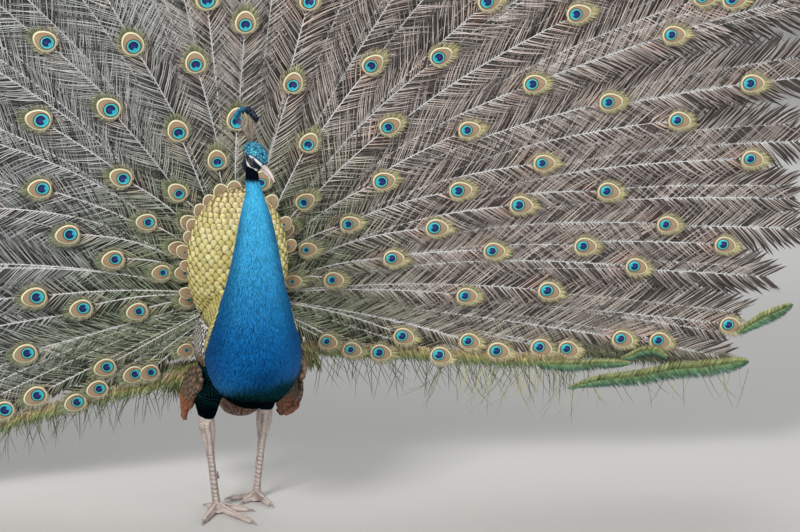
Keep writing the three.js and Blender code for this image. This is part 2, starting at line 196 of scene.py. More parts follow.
def on_head(points):
    """Points of the head's own frame, left, ahead and up in millimetres, in the bird's frame."""
    points = np.asarray(points, float)
    return (EYE_MIDDLE / MM + points[..., :1] * left_way + points[..., 1:2] * ahead_way
            + points[..., 2:3] * up_way)


def head_limb(stations, dome=0.16):
    """A rounded limb whose stations are given in the head's own frame."""
    stations = np.asarray(stations, float)
    return limb_surface(np.hstack([on_head(stations[:, :3]), stations[:, 3:]]), left_way, dome)


skull_surface = head_limb([(0, -34, 3, 8, 8), (0, -23, 6, 15.5, 17), (0, -7, 5, 18.8, 21),
                           (0, 8, 0.5, 16.6, 17.5), (0, 21, -4, 8, 9.5)])
throat_surface = head_limb([(0, -26, -15, 11, 11), (0, -9, -18, 16, 15), (0, 8, -14, 9, 7)], 0.2)


def thigh_surface(leg):
    """The feathered thigh, from inside the flank down to the hock."""
    knee, hock = np.array(leg["knee"], float), np.array(leg["hock"], float)
    inward = np.array([-np.sign(knee[0]), 0, 0])
    at = lambda share, lean, wide, deep: (*(knee + (hock - knee) * share + inward * lean), wide, deep)
    return limb_surface([at(-0.75, 20, 16, 34), at(-0.44, 15, 26, 46), at(-0.12, 8, 32, 48), at(0.14, 4, 32, 43),
                         at(0.38, 0, 28, 34), at(0.75, 0, 19, 22), at(0.98, 0, 12.5, 14)])


vent_surface = limb_surface([(4, 196, 330, 46, 26), (4, 176, 270, 60, 44), (5, 150, 210, 54, 38),
                             (8, 126, 148, 36, 20)], dome=0.14)


def fan_plane(across, high, forward):
    """A point of the fan's plane: across and up from its root, and forward of it."""
    return np.stack([FAN_ROOT[0] + across,
                     FAN_ROOT[1] - high * math.sin(FAN_LEAN) - forward * math.cos(FAN_LEAN),
                     FAN_ROOT[2] + high * math.cos(FAN_LEAN) - forward * math.sin(FAN_LEAN)], -1)


MANTLE_MIDDLE = fan_plane(-6.0, 74.0, 26.0)
MANTLE_WIDE, MANTLE_DEEP, MANTLE_TALL = 98, 46, 158  # from its middle to its surface


def mantle_surface(t, turn, grow=0.0):
    """The mound over the train's root, its poles at its top (t = 1) and foot (t = 0)."""
    t, turn = np.broadcast_arrays(np.asarray(t, float), np.asarray(turn, float))
    ring = np.sin(t * math.pi)
    x = (MANTLE_WIDE + grow) * ring * np.cos(turn)
    y = (MANTLE_DEEP + grow) * ring * np.sin(turn)
    z = -(MANTLE_TALL + grow) * np.cos(t * math.pi)
    return np.stack([MANTLE_MIDDLE[0] + x,
                     MANTLE_MIDDLE[1] + y * math.cos(FAN_LEAN) - z * math.sin(FAN_LEAN),
                     MANTLE_MIDDLE[2] + y * math.sin(FAN_LEAN) + z * math.cos(FAN_LEAN)], -1)


def mantle_depth(p):
    """1 on the surface of the mound over the train's root, less inside it."""
    x, y, z = np.moveaxis(np.asarray(p, float) - MANTLE_MIDDLE, -1, 0)
    out, high = y * math.cos(FAN_LEAN) + z * math.sin(FAN_LEAN), z * math.cos(FAN_LEAN) - y * math.sin(FAN_LEAN)
    return np.sqrt((x / MANTLE_WIDE) ** 2 + (out / MANTLE_DEEP) ** 2 + (high / MANTLE_TALL) ** 2)


def smooth(low, high, value):
    """0 at low and beyond, 1 at high and beyond, with a soft step between; high may be below low."""
    x = np.clip((np.asarray(value, float) - low) / (high - low), 0, 1)
    return x * x * (3 - 2 * x)


def mix(a, b, share):
    """Colours between a and b, a share of the way."""
    share = np.asarray(share, float)[..., None]
    return np.asarray(a, float) * (1 - share) + np.asarray(b, float) * share


BLUE = (0.0015, 0.130, 0.45)
# A lighter blue for the painted highlights up the front of the neck.
BLUE_HIGHLIGHT = (0.085, 0.58, 0.98)
BLUE_DEEP = (0.001, 0.030, 0.14)
NAVY_BLACK = (0.003, 0.006, 0.012)
BUFF = (0.30, 0.19, 0.10)
BLACK_BROWN = (0.008, 0.006, 0.005)


def plumage_tint(p):
    """The colour of the body's plumage at points of the bird's frame, with painted highlights and shade."""
    x, y, z = p[..., 0], p[..., 1], p[..., 2]
    # Painted light: the blue is lighter up the neck and on the bird's front, as a highlight, and darker on the
    # sides that face away.
    facing = smooth(-10, -170, y)
    lit = smooth(350, 640, z)
    blue = mix(BLUE, BLUE_HIGHLIGHT, (0.08 + 0.86 * lit) * (0.35 + 0.65 * facing))
    # Painted shade in the middle of the breast.
    breast_shade = np.exp(-((x - 22) / 34) ** 2 - ((z - 312) / 32) ** 2)  # the breast is darker in its middle
    blue = mix(blue, BLUE_DEEP, 0.62 * breast_shade)
    # Painted shade: the blue darkens towards the sides of the breast and neck, where they turn away.
    rim = smooth(0.6, 1.0, np.abs(x - 12) / np.interp(z, [240, 330, 430, 560, 640], [98, 90, 65, 36, 18]))
    blue = mix(blue, BLUE_DEEP, 0.45 * rim)
    # A painted highlight high on the front of the neck.
    blue = mix(blue, np.array(BLUE_HIGHLIGHT) * 1.25, 0.55 * smooth(590, 650, z) * facing)
    low = smooth(322, 282, z + 5 * np.sin(x / 13) - 0.20 * (x - 12) + 0.24 * np.abs(x - 12))
    # Painted shade: black low on the body's sides behind the breast, under the wings.
    low = np.maximum(low, smooth(-88, -58, y) * smooth(410, 370, z))
    belly = mix((0.002, 0.028, 0.038), (0.0015, 0.003, 0.005), smooth(284, 258, z + 0.25 * x))
    tint = mix(blue, belly, low)
    rear = smooth(-60, 10, y) * (1 - smooth(430, 470, z))
    flank = mix(NAVY_BLACK, BLACK_BROWN, smooth(20, 90, y))
    tint = mix(tint, flank, rear * smooth(-62, -45, x) + rear * smooth(40, 75, y) * smooth(-45, -62, x))
    down = smooth(110, 170, y) * smooth(380, 320, z)
    tint = mix(tint, (0.003, 0.006, 0.010), smooth(665, 674, z))
    return mix(tint, BUFF, down * 0.8)


def head_parts(p):
    """Points of the bird's frame in the head's own: left, ahead and up."""
    q = p - EYE_MIDDLE / MM
    return q @ left_way, q @ ahead_way, q @ up_way


BROW_LINE = np.array([(-5, 8), (2, 9), (9, 7.5), (16, 4), (22, -1)], float)
CHEEK_LINE = np.array([(-22, 6), (-18, 0), (-14, -6), (-8, -10.5), (-1, -12.8), (6, -13.2), (13, -12.6)], float)


def off_line(ahead, up, line):
    """How far points are from a line drawn on the side of the head."""
    best = np.full(np.shape(ahead), 1e9)
    for (ax, ay), (bx, by) in zip(line[:-1], line[1:]):
        dx, dy = bx - ax, by - ay
        s = np.clip(((ahead - ax) * dx + (up - ay) * dy) / (dx * dx + dy * dy), 0, 1)
        best = np.minimum(best, np.hypot(ahead - ax - s * dx, up - ay - s * dy))
    return best


def bare_skin(p):
    """1 on the bare white skin over and under the eye, 0 where feathers grow."""
    left, ahead, up = head_parts(p)
    brow = smooth(2.3, 1.4, off_line(ahead, up, BROW_LINE))
    cheek = smooth(3.0, 2.1, off_line(ahead, up, CHEEK_LINE) + 0.5 * smooth(-14, -22, ahead))
    return np.maximum(brow, cheek) * (np.abs(left) > 5)


def head_tint(p):
    """The colour of the head's plumage: turquoise on the crown, nearly black below it."""
    _, ahead, up = head_parts(p)
    crown = smooth(-2, 4, up - 9.5 + 0.20 * np.abs(ahead + 4))
    tint = mix((0.004, 0.018, 0.035), (0.012, 0.19, 0.27), crown)
    nape = smooth(-22, -32, ahead)
    return mix(tint, BLUE_DEEP, nape * 0.7)


def rounded(bm, surface, grow, around, along):
    """A sphere whose rings are moved onto a surface."""
    made = bmesh.ops.create_uvsphere(bm, u_segments=around, v_segments=along, radius=1)["verts"]
    at = np.array([v.co[:] for v in made])
    t = 1 - np.arccos(np.clip(at[:, 2], -1, 1)) / math.pi
    places = surface(t, np.arctan2(at[:, 1], at[:, 0]), grow)
    for vert, place in zip(made, places):
        vert.co = place
    return made


def add_piece(name, bm_or_mesh, materials):
    """A finished piece, from millimetres in the bird's frame, that rides on the model."""
    if isinstance(bm_or_mesh, bmesh.types.BMesh):
        mesh = bpy.data.meshes.new(name)
        bmesh.ops.recalc_face_normals(bm_or_mesh, faces=bm_or_mesh.faces)
        bm_or_mesh.to_mesh(mesh)
        bm_or_mesh.free()
    else:
        mesh = bm_or_mesh
    at = np.empty(len(mesh.vertices) * 3, np.float32)
    mesh.vertices.foreach_get("co", at)
    at = at.reshape(-1, 3) * MM + SHIFT
    mesh.vertices.foreach_set("co", at.ravel().astype(np.float32))
    for material in materials:
        mesh.materials.append(material)
    mesh.polygons.foreach_set("use_smooth", np.ones(len(mesh.polygons), bool))
    mesh.update()
    piece = bpy.data.objects.new(name, mesh)
    bpy.context.scene.collection.objects.link(piece)
    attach(piece, "root")
    return piece


def paint(mesh, name, colours):
    """A colour on each vertex of a mesh."""
    layer = mesh.color_attributes.new(name, "FLOAT_COLOR", "POINT")
    rgba = np.ones((len(mesh.vertices), 4), np.float32)
    rgba[:, :colours.shape[1]] = colours
    layer.data.foreach_set("color", rgba.ravel())


def fused(name, bm, voxel):
    """Overlapping rounded forms made into one closed mesh with soft joins."""
    raw = bpy.data.meshes.new(name + "_raw")
    bmesh.ops.recalc_face_normals(bm, faces=bm.faces)
    bm.to_mesh(raw)
    bm.free()
    holder = bpy.data.objects.new(name + "_raw", raw)
    bpy.context.scene.collection.objects.link(holder)
    remesh = holder.modifiers.new("remesh", "REMESH")
    remesh.mode, remesh.voxel_size, remesh.adaptivity = "VOXEL", voxel, 0
    result = bpy.data.meshes.new_from_object(holder.evaluated_get(bpy.context.evaluated_depsgraph_get()))
    bpy.data.objects.remove(holder)
    bpy.data.meshes.remove(raw)
    result.name = name
    return result


SKIN_VOXEL, LEG_VOXEL = 3.1, 1.5
bm = bmesh.new()
rounded(bm, body_surface, -3.0, 48, 90)
rounded(bm, skull_surface, -1.6, 40, 40)
rounded(bm, throat_surface, -2.0, 32, 24)
rounded(bm, mantle_surface, -6.0, 40, 40)
rounded(bm, vent_surface, -10.0, 32, 24)
for leg in LEGS.values():
    rounded(bm, thigh_surface(leg), -3.5, 28, 24)
skin_mesh = fused("body_skin", bm, SKIN_VOXEL)

bm = bmesh.new()
bm.from_mesh(skin_mesh)
for _ in range(3):
    bmesh.ops.smooth_vert(bm, verts=bm.verts, factor=0.5, use_axis_x=True, use_axis_y=True, use_axis_z=True)
for reach in (34, 26):
    near = [f for f in bm.faces
            if (f.calc_center_median() - Vector(EYE_MIDDLE / MM)).length < reach]
    edges = list({e for f in near for e in f.edges})
    bmesh.ops.subdivide_edges(bm, edges=edges, cuts=1, use_grid_fill=True)
bmesh.ops.triangulate(bm, faces=[f for f in bm.faces if len(f.verts) > 4])
for _ in range(2):
    head_verts = [v for v in bm.verts if (v.co - Vector(EYE_MIDDLE / MM)).length < 36]
    bmesh.ops.smooth_vert(bm, verts=head_verts, factor=0.5, use_axis_x=True, use_axis_y=True, use_axis_z=True)
bm.normal_update()
EYE_BALL, SOCKET, BROW_RIDGE = 6.0, 4.6, 7.4


def eye_centre(sign):
    """The middle of the left (1) or right (-1) eye."""
    return on_head(np.array([sign * EYE_ASIDE / MM, 1, 0]))


for sign in (-1, 1):
    centre = Vector(eye_centre(sign))
    outward = Vector(left_way * sign)
    for vert in bm.verts:
        apart = vert.co - centre
        if apart.length > 14 or apart.dot(outward) < -3:
            continue
        ring = (apart - outward * apart.dot(outward))
        along, high = ring.dot(Vector(ahead_way)) / 1.12, ring.dot(Vector(up_way))
        r = math.hypot(along, high)
        if r < SOCKET:
            vert.co -= outward * 5.0 * (1 - (r / SOCKET) ** 6 * 0.6)
        elif r < BROW_RIDGE:
            vert.co += outward * 0.9 * math.sin((r - SOCKET) / 2.8 * math.pi)
skin_mesh.clear_geometry()
bm.to_mesh(skin_mesh)
bm.free()

at = np.array([v.co[:] for v in skin_mesh.vertices])
# The skin under the feathers takes their tint, darker, as painted shade in the gaps between them; on the head less
# so.
tint = plumage_tint(at) * 0.6
tint = mix(tint, (0.16, 0.135, 0.05), smooth(1.2, 1.0, mantle_depth(at)) * (at[:, 1] > -30))
left, ahead, up = head_parts(at)
on_skull = smooth(-46, -30, ahead) * smooth(-38, -30, up) * smooth(60, 50, np.abs(left))
tint = mix(tint, head_tint(at) * 0.8, on_skull)
bare = bare_skin(at) * on_skull
tint = mix(tint, (0.80, 0.78, 0.77), bare)
for sign in (-1, 1):
    centre = eye_centre(sign)
    r = np.linalg.norm((at - centre) - np.outer((at - centre) @ (left_way * sign), left_way * sign), axis=1)
    lid = smooth(7.2, 6.2, r) * ((at - centre) @ (left_way * sign) > -3) * on_skull
    tint = mix(tint, (0.10, 0.09, 0.10), lid)
    bare = bare * (1 - lid)
paint(skin_mesh, "tint", tint)
paint(skin_mesh, "bare", np.repeat(bare[:, None], 3, 1))

skin_paint, tree, shader = new_paint("skin_under_feathers")
nodes, links = tree.nodes, tree.links
shader.inputs["Roughness"].default_value = 0.6
tint_node = nodes.new("ShaderNodeVertexColor")
tint_node.layer_name = "tint"
pores = nodes.new("ShaderNodeTexVoronoi")
pores.inputs["Scale"].default_value = 700
where = nodes.new("ShaderNodeTexCoord")
links.new(where.outputs["Object"], pores.inputs["Vector"])
shade = nodes.new("ShaderNodeMix")
shade.data_type, shade.blend_type = "RGBA", "MULTIPLY"
shade.inputs["Factor"].default_value = 0.35
links.new(tint_node.outputs["Color"], shade.inputs["A"])
links.new(pores.outputs["Distance"], shade.inputs["B"])
soft = nodes.new("ShaderNodeMix")
soft.data_type = "RGBA"
soft.inputs["Factor"].default_value = 0.6
links.new(shade.outputs["Result"], soft.inputs["A"])
links.new(tint_node.outputs["Color"], soft.inputs["B"])
links.new(soft.outputs["Result"], shader.inputs["Base Color"])
bump = nodes.new("ShaderNodeBump")
bump.inputs["Strength"].default_value = 0.25
bump.inputs["Distance"].default_value = 0.0006
links.new(pores.outputs["Distance"], bump.inputs["Height"])
links.new(bump.outputs["Normal"], shader.inputs["Normal"])
body_skin = add_piece("body_skin", skin_mesh, [skin_paint])
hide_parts("head", "neck_upper", "neck_lower", "breast", "trunk", "thigh_left", "thigh_right",
            "shank_left", "shank_right", "foot_left", "foot_right")


# ---------- Body plumage ----------
# Small overlapping contour feathers in rows, each a thin vane with a raised shaft: long and hair-fine on the
# neck, broad and scale-like on the breast, with bright green edges where the breast turns black.
class Plumage:
    """Vanes gathered into one mesh. Each vane is a closed blade: two edges, a raised shaft and a tip."""

    def __init__(self):
        self.at, self.tint, self.rim, self.blade, self.bake, self.quads, self.tris = [], [], [], [], [], [], []
        self.count = 0

    def add(self, path, side, lift, tint, rim=None, bake=None, tail=None):
        """path, side and lift are N x K x 3. tint and rim are N x 3, or N x K x 3 to change along the vane."""
        n, k = path.shape[:2]
        if n == 0:
            return
        spread = lambda c: np.broadcast_to(c if np.ndim(c) == 3 else np.asarray(c, float).reshape(-1, 1, 3),
                                           (n, k, 3))
        tint = spread(tint)
        rim = tint if rim is None else spread(rim)
        rows = np.stack([path - side, path + lift, path + side], 2)[:, :k - 1]
        at = np.concatenate([rows.reshape(n, -1, 3), path[:, k - 1:]], 1)
        three = lambda c: np.concatenate([np.repeat(c[:, :k - 1], 3, 1), c[:, k - 1:]], 1)
        along = np.linspace(0, 1, k) if tail is None else np.asarray(tail, float)
        along = np.broadcast_to(along, (n, k))
        blade = np.zeros((n, 3 * (k - 1) + 1, 2))
        blade[:, :-1, 0] = np.tile([0, 0.5, 1], k - 1)
        blade[:, :-1, 1] = np.repeat(along[:, :k - 1], 3, 1)
        blade[:, -1, 0], blade[:, -1, 1] = 0.5, along[:, -1]
        if bake is None:
            bake = np.full((n, 2), 0.5)
        per = 3 * (k - 1) + 1
        base = self.count + np.arange(n)[:, None] * per
        quads = []
        for row in range(k - 2):
            for a, b in ((0, 1), (1, 2), (2, 0)):
                quads.append([3 * row + a, 3 * row + b, 3 * row + 3 + b, 3 * row + 3 + a])
        last = 3 * (k - 2)
        tris = [[last + a, last + b, per - 1] for a, b in ((0, 1), (1, 2), (2, 0))] + [[0, 2, 1]]
        self.quads.append((base[:, :, None] + np.array(quads)[None]).reshape(-1, 4))
        self.tris.append((base[:, :, None] + np.array(tris)[None]).reshape(-1, 3))
        self.at.append(at.reshape(-1, 3))
        self.tint.append(three(tint).reshape(-1, 3))
        self.rim.append(three(rim).reshape(-1, 3))
        self.blade.append(blade.reshape(-1, 2))
        patch = np.stack([blade[..., 0] - 0.5, np.linspace(-0.5, 0.5, blade.shape[1]) + 0 * blade[..., 0]], -1)
        self.bake.append((bake[:, None] + patch * 0.003).reshape(-1, 2))
        self.count += n * per

    def make(self, name, material, slot, replaces=()):
        at = np.concatenate(self.at)
        quads, tris = np.concatenate(self.quads), np.concatenate(self.tris)
        mesh = bpy.data.meshes.new(name)
        mesh.vertices.add(len(at))
        mesh.vertices.foreach_set("co", at.astype(np.float32).ravel())
        corner = np.concatenate([quads.ravel(), tris.ravel()]).astype(np.int32)
        sizes = np.concatenate([np.full(len(quads), 4), np.full(len(tris), 3)]).astype(np.int32)
        mesh.loops.add(len(corner))
        mesh.loops.foreach_set("vertex_index", corner)
        mesh.polygons.add(len(sizes))
        mesh.polygons.foreach_set("loop_start", np.concatenate([[0], np.cumsum(sizes)[:-1]]).astype(np.int32))
        mesh.polygons.foreach_set("loop_total", sizes)
        mesh.update(calc_edges=True)
        for layer, values in (("OFBake", self.bake), ("Blade", self.blade)):
            uv = mesh.uv_layers.new(name=layer)
            uv.data.foreach_set("uv", np.concatenate(values)[corner].astype(np.float32).ravel())
        paint(mesh, "tint", np.concatenate(self.tint))
        paint(mesh, "rim", np.concatenate(self.rim))
        piece = add_piece(name, mesh, [material])
        if replaces:
            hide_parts(*replaces)
        print(name, 2 * len(quads) + len(tris), "triangles")
        return piece


VANE_SHAPE = {  # along the vane, and how wide it is there
    "scale": ((0, 0.42, 0.78, 1), (0.55, 1.0, 0.78, 0)),
    "round": ((0, 0.35, 0.7, 0.92, 1), (0.5, 0.95, 1.0, 0.62, 0)),
    "lance": ((0, 0.3, 0.7, 1), (0.7, 1.0, 0.7, 0)),
    "barb": ((0, 0.28, 0.55, 0.8, 1), (1.0, 1.0, 0.85, 0.6, 0)),
}


skin_tree = BVHTree.FromPolygons([tuple(v) for v in at], [tuple(p.vertices) for p in skin_mesh.polygons])


def lay_vanes(pile, surface, t, turn, way, length, width, tint, rim, shape, rise, proud, slant=0.0, ridge=0.12,
              clear=None):
    """Vanes that lie along a surface. way is -1 or 1: which way along t their tips point."""
    v, wide = (np.array(a) for a in VANE_SHAPE[shape])
    length, width = (np.broadcast_to(np.asarray(a, float), t.shape) for a in (length, width))
    step = 0.002
    speed = np.linalg.norm(surface(t + step, turn) - surface(t - step, turn), axis=-1) / (2 * step)
    tk = np.clip(t[:, None] + way * length[:, None] * v / np.maximum(speed, 60)[:, None], 0.004, 0.996)
    uk = turn[:, None] + np.broadcast_to(np.asarray(slant, float).reshape(-1, 1), (len(t), 1)) * v
    p = surface(tk, uk)
    dt = surface(np.clip(tk + step, 0, 1), uk) - surface(np.clip(tk - step, 0, 1), uk)
    du = surface(tk, uk + 0.01) - surface(tk, uk - 0.01)
    out = np.cross(dt, du)
    out /= np.maximum(np.linalg.norm(out, axis=-1, keepdims=True), 1e-9)
    axis = p - (p + surface(tk, uk + math.pi)) / 2
    out *= np.sign((out * axis).sum(-1, keepdims=True) + 1e-12)
    forward = np.gradient(p, axis=1)
    forward /= np.maximum(np.linalg.norm(forward, axis=-1, keepdims=True), 1e-9)
    side = np.cross(forward, out)
    side /= np.maximum(np.linalg.norm(side, axis=-1, keepdims=True), 1e-9)
    half = width[:, None] / 2 * wide
    rise = np.broadcast_to(np.asarray(rise, float), t.shape)
    path = p + out * (proud + rise[:, None] * v ** 1.5 - 0.6 * (1 - v) ** 2)[..., None]
    if clear is not None:  # in a hollow the skin may stand higher than the surface that the vanes follow
        for point, way_out, share in zip(path.reshape(-1, 3), out.reshape(-1, 3), np.tile(v, len(t))):
            hit = skin_tree.ray_cast(Vector(point + way_out * 30), Vector(-way_out), 30)
            if hit[0] is not None:
                short = clear * (0.3 + 0.7 * share) - (point - np.array(hit[0])) @ way_out
                point += way_out * max(0.0, short)
    bake = np.stack([0.02 + 0.96 * np.mod(turn / (2 * math.pi), 1), 0.02 + 0.96 * np.clip(t, 0, 1)], -1)
    pile.add(path, side * half[..., None], out * (half * 2 * ridge)[..., None], tint, rim, bake, v)


def staggered(surface, t_from, t_to, along, around, seed, jitter=0.18, steady=0.0):
    """Roots in rows from t_from to t_to. along and around give the spacing in millimetres at t. A row keeps the
    number of the last where that alters the spacing by less than the share steady, so that they interlock."""
    local = np.random.default_rng(seed)
    ts, turns = [], []
    t, row, last_count = t_from, 0, 0
    way = 1 if t_to > t_from else -1
    while (t - t_to) * way < 0:
        ring = surface(np.full(48, t), np.linspace(0, 2 * math.pi, 48, endpoint=False))
        lap = np.linalg.norm(np.roll(ring, -1, 0) - ring, axis=1)
        girth = lap.sum()
        count = max(4, int(girth / around(t)))
        if abs(count - last_count) < steady * count:
            count = last_count
        last_count = count
        even = (np.arange(count) + 0.5 * (row % 2) + local.uniform(-jitter, jitter, count)) / count
        turn = np.interp(np.mod(even, 1), np.concatenate([[0], np.cumsum(lap) / girth]),
                         np.linspace(0, 2 * math.pi, 49))
        speed = max(np.linalg.norm(surface(np.array([t + 0.002]), np.array([aside]))
                                   - surface(np.array([t - 0.002]), np.array([aside]))) / 0.004
                    for aside in (0.3, -1.57))
        step = along(t) / max(speed, 80)
        ts.append(t + local.uniform(-jitter, jitter, count) * step)
        turns.append(turn)
        t += way * step
        row += 1
    return np.concatenate(ts), np.concatenate(turns)


def node_group(name, inputs, outputs):
    """A new group of shader nodes, with its input and output nodes."""
    group = bpy.data.node_groups.new(name, "ShaderNodeTree")
    for label, kind, value in inputs:
        socket = group.interface.new_socket(label, in_out="INPUT", socket_type=kind)
        if value is not None:
            socket.default_value = value
    for label, kind in outputs:
        group.interface.new_socket(label, in_out="OUTPUT", socket_type=kind)
    return group, group.nodes.new("NodeGroupInput"), group.nodes.new("NodeGroupOutput")


def maths(tree, how, a, b=None):
    """The result of a sum of two sockets or numbers."""
    node = tree.nodes.new("ShaderNodeMath")
    node.operation = how
    for socket, value in zip(node.inputs, (a, b)):
        if isinstance(value, (int, float)):
            socket.default_value = value
        elif value is not None:
            tree.links.new(value, socket)
    return node.outputs[0]


# The barbs of a vane: fine lines that run from the shaft to the edges, and a mask of the vane's rim.
barbs_group, barbs_in, barbs_out = node_group(
    "vane_barbs", [("Barbs", "NodeSocketFloat", 14.0), ("Rim From", "NodeSocketFloat", 0.72),
                   ("Rim To", "NodeSocketFloat", 0.92)],
    [("Lines", "NodeSocketFloat"), ("Rim", "NodeSocketFloat")])
vane_uv = barbs_group.nodes.new("ShaderNodeUVMap")
vane_uv.uv_map = "Blade"
vane_split = barbs_group.nodes.new("ShaderNodeSeparateXYZ")
barbs_group.links.new(vane_uv.outputs["UV"], vane_split.inputs["Vector"])
aside = maths(barbs_group, "ABSOLUTE", maths(barbs_group, "SUBTRACT", vane_split.outputs["X"], 0.5))
slope = maths(barbs_group, "SUBTRACT", vane_split.outputs["Y"], maths(barbs_group, "MULTIPLY", aside, 0.7))
wave = maths(barbs_group, "SINE", maths(barbs_group, "MULTIPLY",
                                        maths(barbs_group, "MULTIPLY", slope, barbs_in.outputs["Barbs"]),
                                        6.2832))
barbs_group.links.new(maths(barbs_group, "ADD", maths(barbs_group, "MULTIPLY", wave, 0.5), 0.5),
                      barbs_out.inputs["Lines"])
end = maths(barbs_group, "MAXIMUM", maths(barbs_group, "MULTIPLY", aside, 2.0), vane_split.outputs["Y"])
rim_fade = barbs_group.nodes.new("ShaderNodeMapRange")
rim_fade.interpolation_type = "SMOOTHSTEP"
barbs_group.links.new(end, rim_fade.inputs["Value"])
barbs_group.links.new(barbs_in.outputs["Rim From"], rim_fade.inputs["From Min"])
barbs_group.links.new(barbs_in.outputs["Rim To"], rim_fade.inputs["From Max"])
barbs_group.links.new(rim_fade.outputs["Result"], barbs_out.inputs["Rim"])


def feather_paint(name, barbs, rim, rough, mottle, streak=0.25, scale=260.0, metal=0.0, sheen=0.0, coat=0.0,
                  gleam=0.4, metal_of_blue=0.0):
    """A vane's finish: its tint, its rim's tint, fine barb lines and a little mottling."""
    material, tree, shader = new_paint(name)
    shader.inputs["Roughness"].default_value = rough
    shader.inputs["Metallic"].default_value = metal
    shader.inputs["Sheen Weight"].default_value = sheen
    shader.inputs["Coat Weight"].default_value = coat
    shader.inputs["Coat Roughness"].default_value = 0.35
    shader.inputs["Specular IOR Level"].default_value = gleam
    vane = tree.nodes.new("ShaderNodeGroup")
    vane.node_tree = barbs_group
    vane.inputs["Barbs"].default_value = barbs
    vane.inputs["Rim From"].default_value, vane.inputs["Rim To"].default_value = rim
    colours = []
    for layer in ("tint", "rim"):
        node = tree.nodes.new("ShaderNodeVertexColor")
        node.layer_name = layer
        colours.append(node.outputs["Color"])
    both = tree.nodes.new("ShaderNodeMix")
    both.data_type = "RGBA"
    tree.links.new(vane.outputs["Rim"], both.inputs["Factor"])
    tree.links.new(colours[0], both.inputs["A"])
    tree.links.new(colours[1], both.inputs["B"])
    if metal_of_blue:  # black feathers are dull, bright blue ones gleam like metal
        parts = tree.nodes.new("ShaderNodeSeparateColor")
        tree.links.new(both.outputs["Result"], parts.inputs["Color"])
        gleaming = maths(tree, "MULTIPLY", parts.outputs["Blue"], metal_of_blue)
        tree.links.new(maths(tree, "MINIMUM", gleaming, metal), shader.inputs["Metallic"])
    where = tree.nodes.new("ShaderNodeTexCoord")
    cloud = tree.nodes.new("ShaderNodeTexNoise")
    cloud.inputs["Scale"].default_value = scale
    tree.links.new(where.outputs["Object"], cloud.inputs["Vector"])
    level = maths(tree, "ADD", maths(tree, "MULTIPLY", vane.outputs["Lines"], -streak),
                  maths(tree, "ADD", maths(tree, "MULTIPLY", cloud.outputs["Fac"], 2 * mottle),
                        1 + streak / 2 - mottle))
    shaded = tree.nodes.new("ShaderNodeVectorMath")
    shaded.operation = "SCALE"
    tree.links.new(both.outputs["Result"], shaded.inputs[0])
    tree.links.new(level, shaded.inputs["Scale"])
    tree.links.new(shaded.outputs["Vector"], shader.inputs["Base Color"])
    relief = tree.nodes.new("ShaderNodeBump")
    relief.inputs["Strength"].default_value = 0.6
    relief.inputs["Distance"].default_value = 0.0003
    tree.links.new(vane.outputs["Lines"], relief.inputs["Height"])
    tree.links.new(relief.outputs["Normal"], shader.inputs["Normal"])
    return material


def varied(tint, amount, seed):
    """Each vane a little lighter or darker than the next."""
    local = np.random.default_rng(seed)
    return tint * (1 + local.uniform(-amount, amount, (len(tint), 1)))


body_t = lambda index: index / (len(BODY_SECTIONS) - 1)
UP_THE_NECK = [body_t(4), body_t(8), body_t(12), 1]
silk = feather_paint("iridescent_plumage", barbs=4, rim=(0.80, 0.96), rough=0.46, metal=0.35,
                     streak=0.16, mottle=0.26, scale=120, gleam=0.0, metal_of_blue=1.1)

front = Plumage()
t, turn = staggered(body_surface, body_t(15.6), body_t(3.6),
                    lambda t: np.interp(t, UP_THE_NECK, [6.6, 5.0, 4.0, 2.8]),
                    lambda t: np.interp(t, UP_THE_NECK, [5.4, 4.0, 3.2, 2.3]), 11)
p = body_surface(t, turn)
behind_mantle = mantle_depth(p) < 0.97
in_head = (np.linalg.norm(np.stack(head_parts(p), -1) / np.array([17, 30, 18]), axis=1) < 0.9)
keep = ~behind_mantle & ~in_head & ~((np.sin(turn) > 0.25) & (t < body_t(6.8)))
t, turn, p = t[keep], turn[keep], p[keep]
size = np.interp(t, UP_THE_NECK, [17, 15, 12, 7.5])
wide = np.interp(t, UP_THE_NECK, [9.4, 5.6, 4.0, 3.0])
tint = varied(plumage_tint(p), 0.20, 12)
height = p[:, 2]
edge_green = mix((0.010, 0.22, 0.42), (0.010, 0.20, 0.16), smooth(310, 280, height))
edging = smooth(326, 296, height) * smooth(258, 276, height) * (0.35 + 0.65 * smooth(20, -60, p[:, 0]))
rim = mix(tint * 1.25, edge_green, edging)
lay_vanes(front, body_surface, t, turn, -1, size, wide, tint, rim, "scale",
          rise=np.interp(t, [body_t(4), body_t(8), 1], [1.9, 0.9, 0.5]), proud=-1.6, ridge=0.08,
          slant=rng.uniform(-0.05, 0.05, len(t)))
front.make("neck_and_breast_plumage", silk, "blue_feathers")

thighs = Plumage()
for name, leg in LEGS.items():
    surface = thigh_surface(leg)
    t, turn = staggered(surface, 0.10, 0.93, lambda t: 5.4, lambda t: 5.6, 21 if name == "left" else 22)
    p = surface(t, turn)
    tint = varied(plumage_tint(p), 0.25, 23)
    edging = smooth(326, 300, p[:, 2]) * smooth(218, 250, p[:, 2]) * smooth(40, 0, p[:, 1])
    rim = mix(tint * 1.3, (0.010, 0.20, 0.17), 0.8 * edging)
    lay_vanes(thighs, surface, t, turn, 1, 14, 8, tint, rim, "scale", rise=1.2, proud=-1.4, ridge=0.08)
thighs.make("thigh_plumage", silk, "body_feathers")

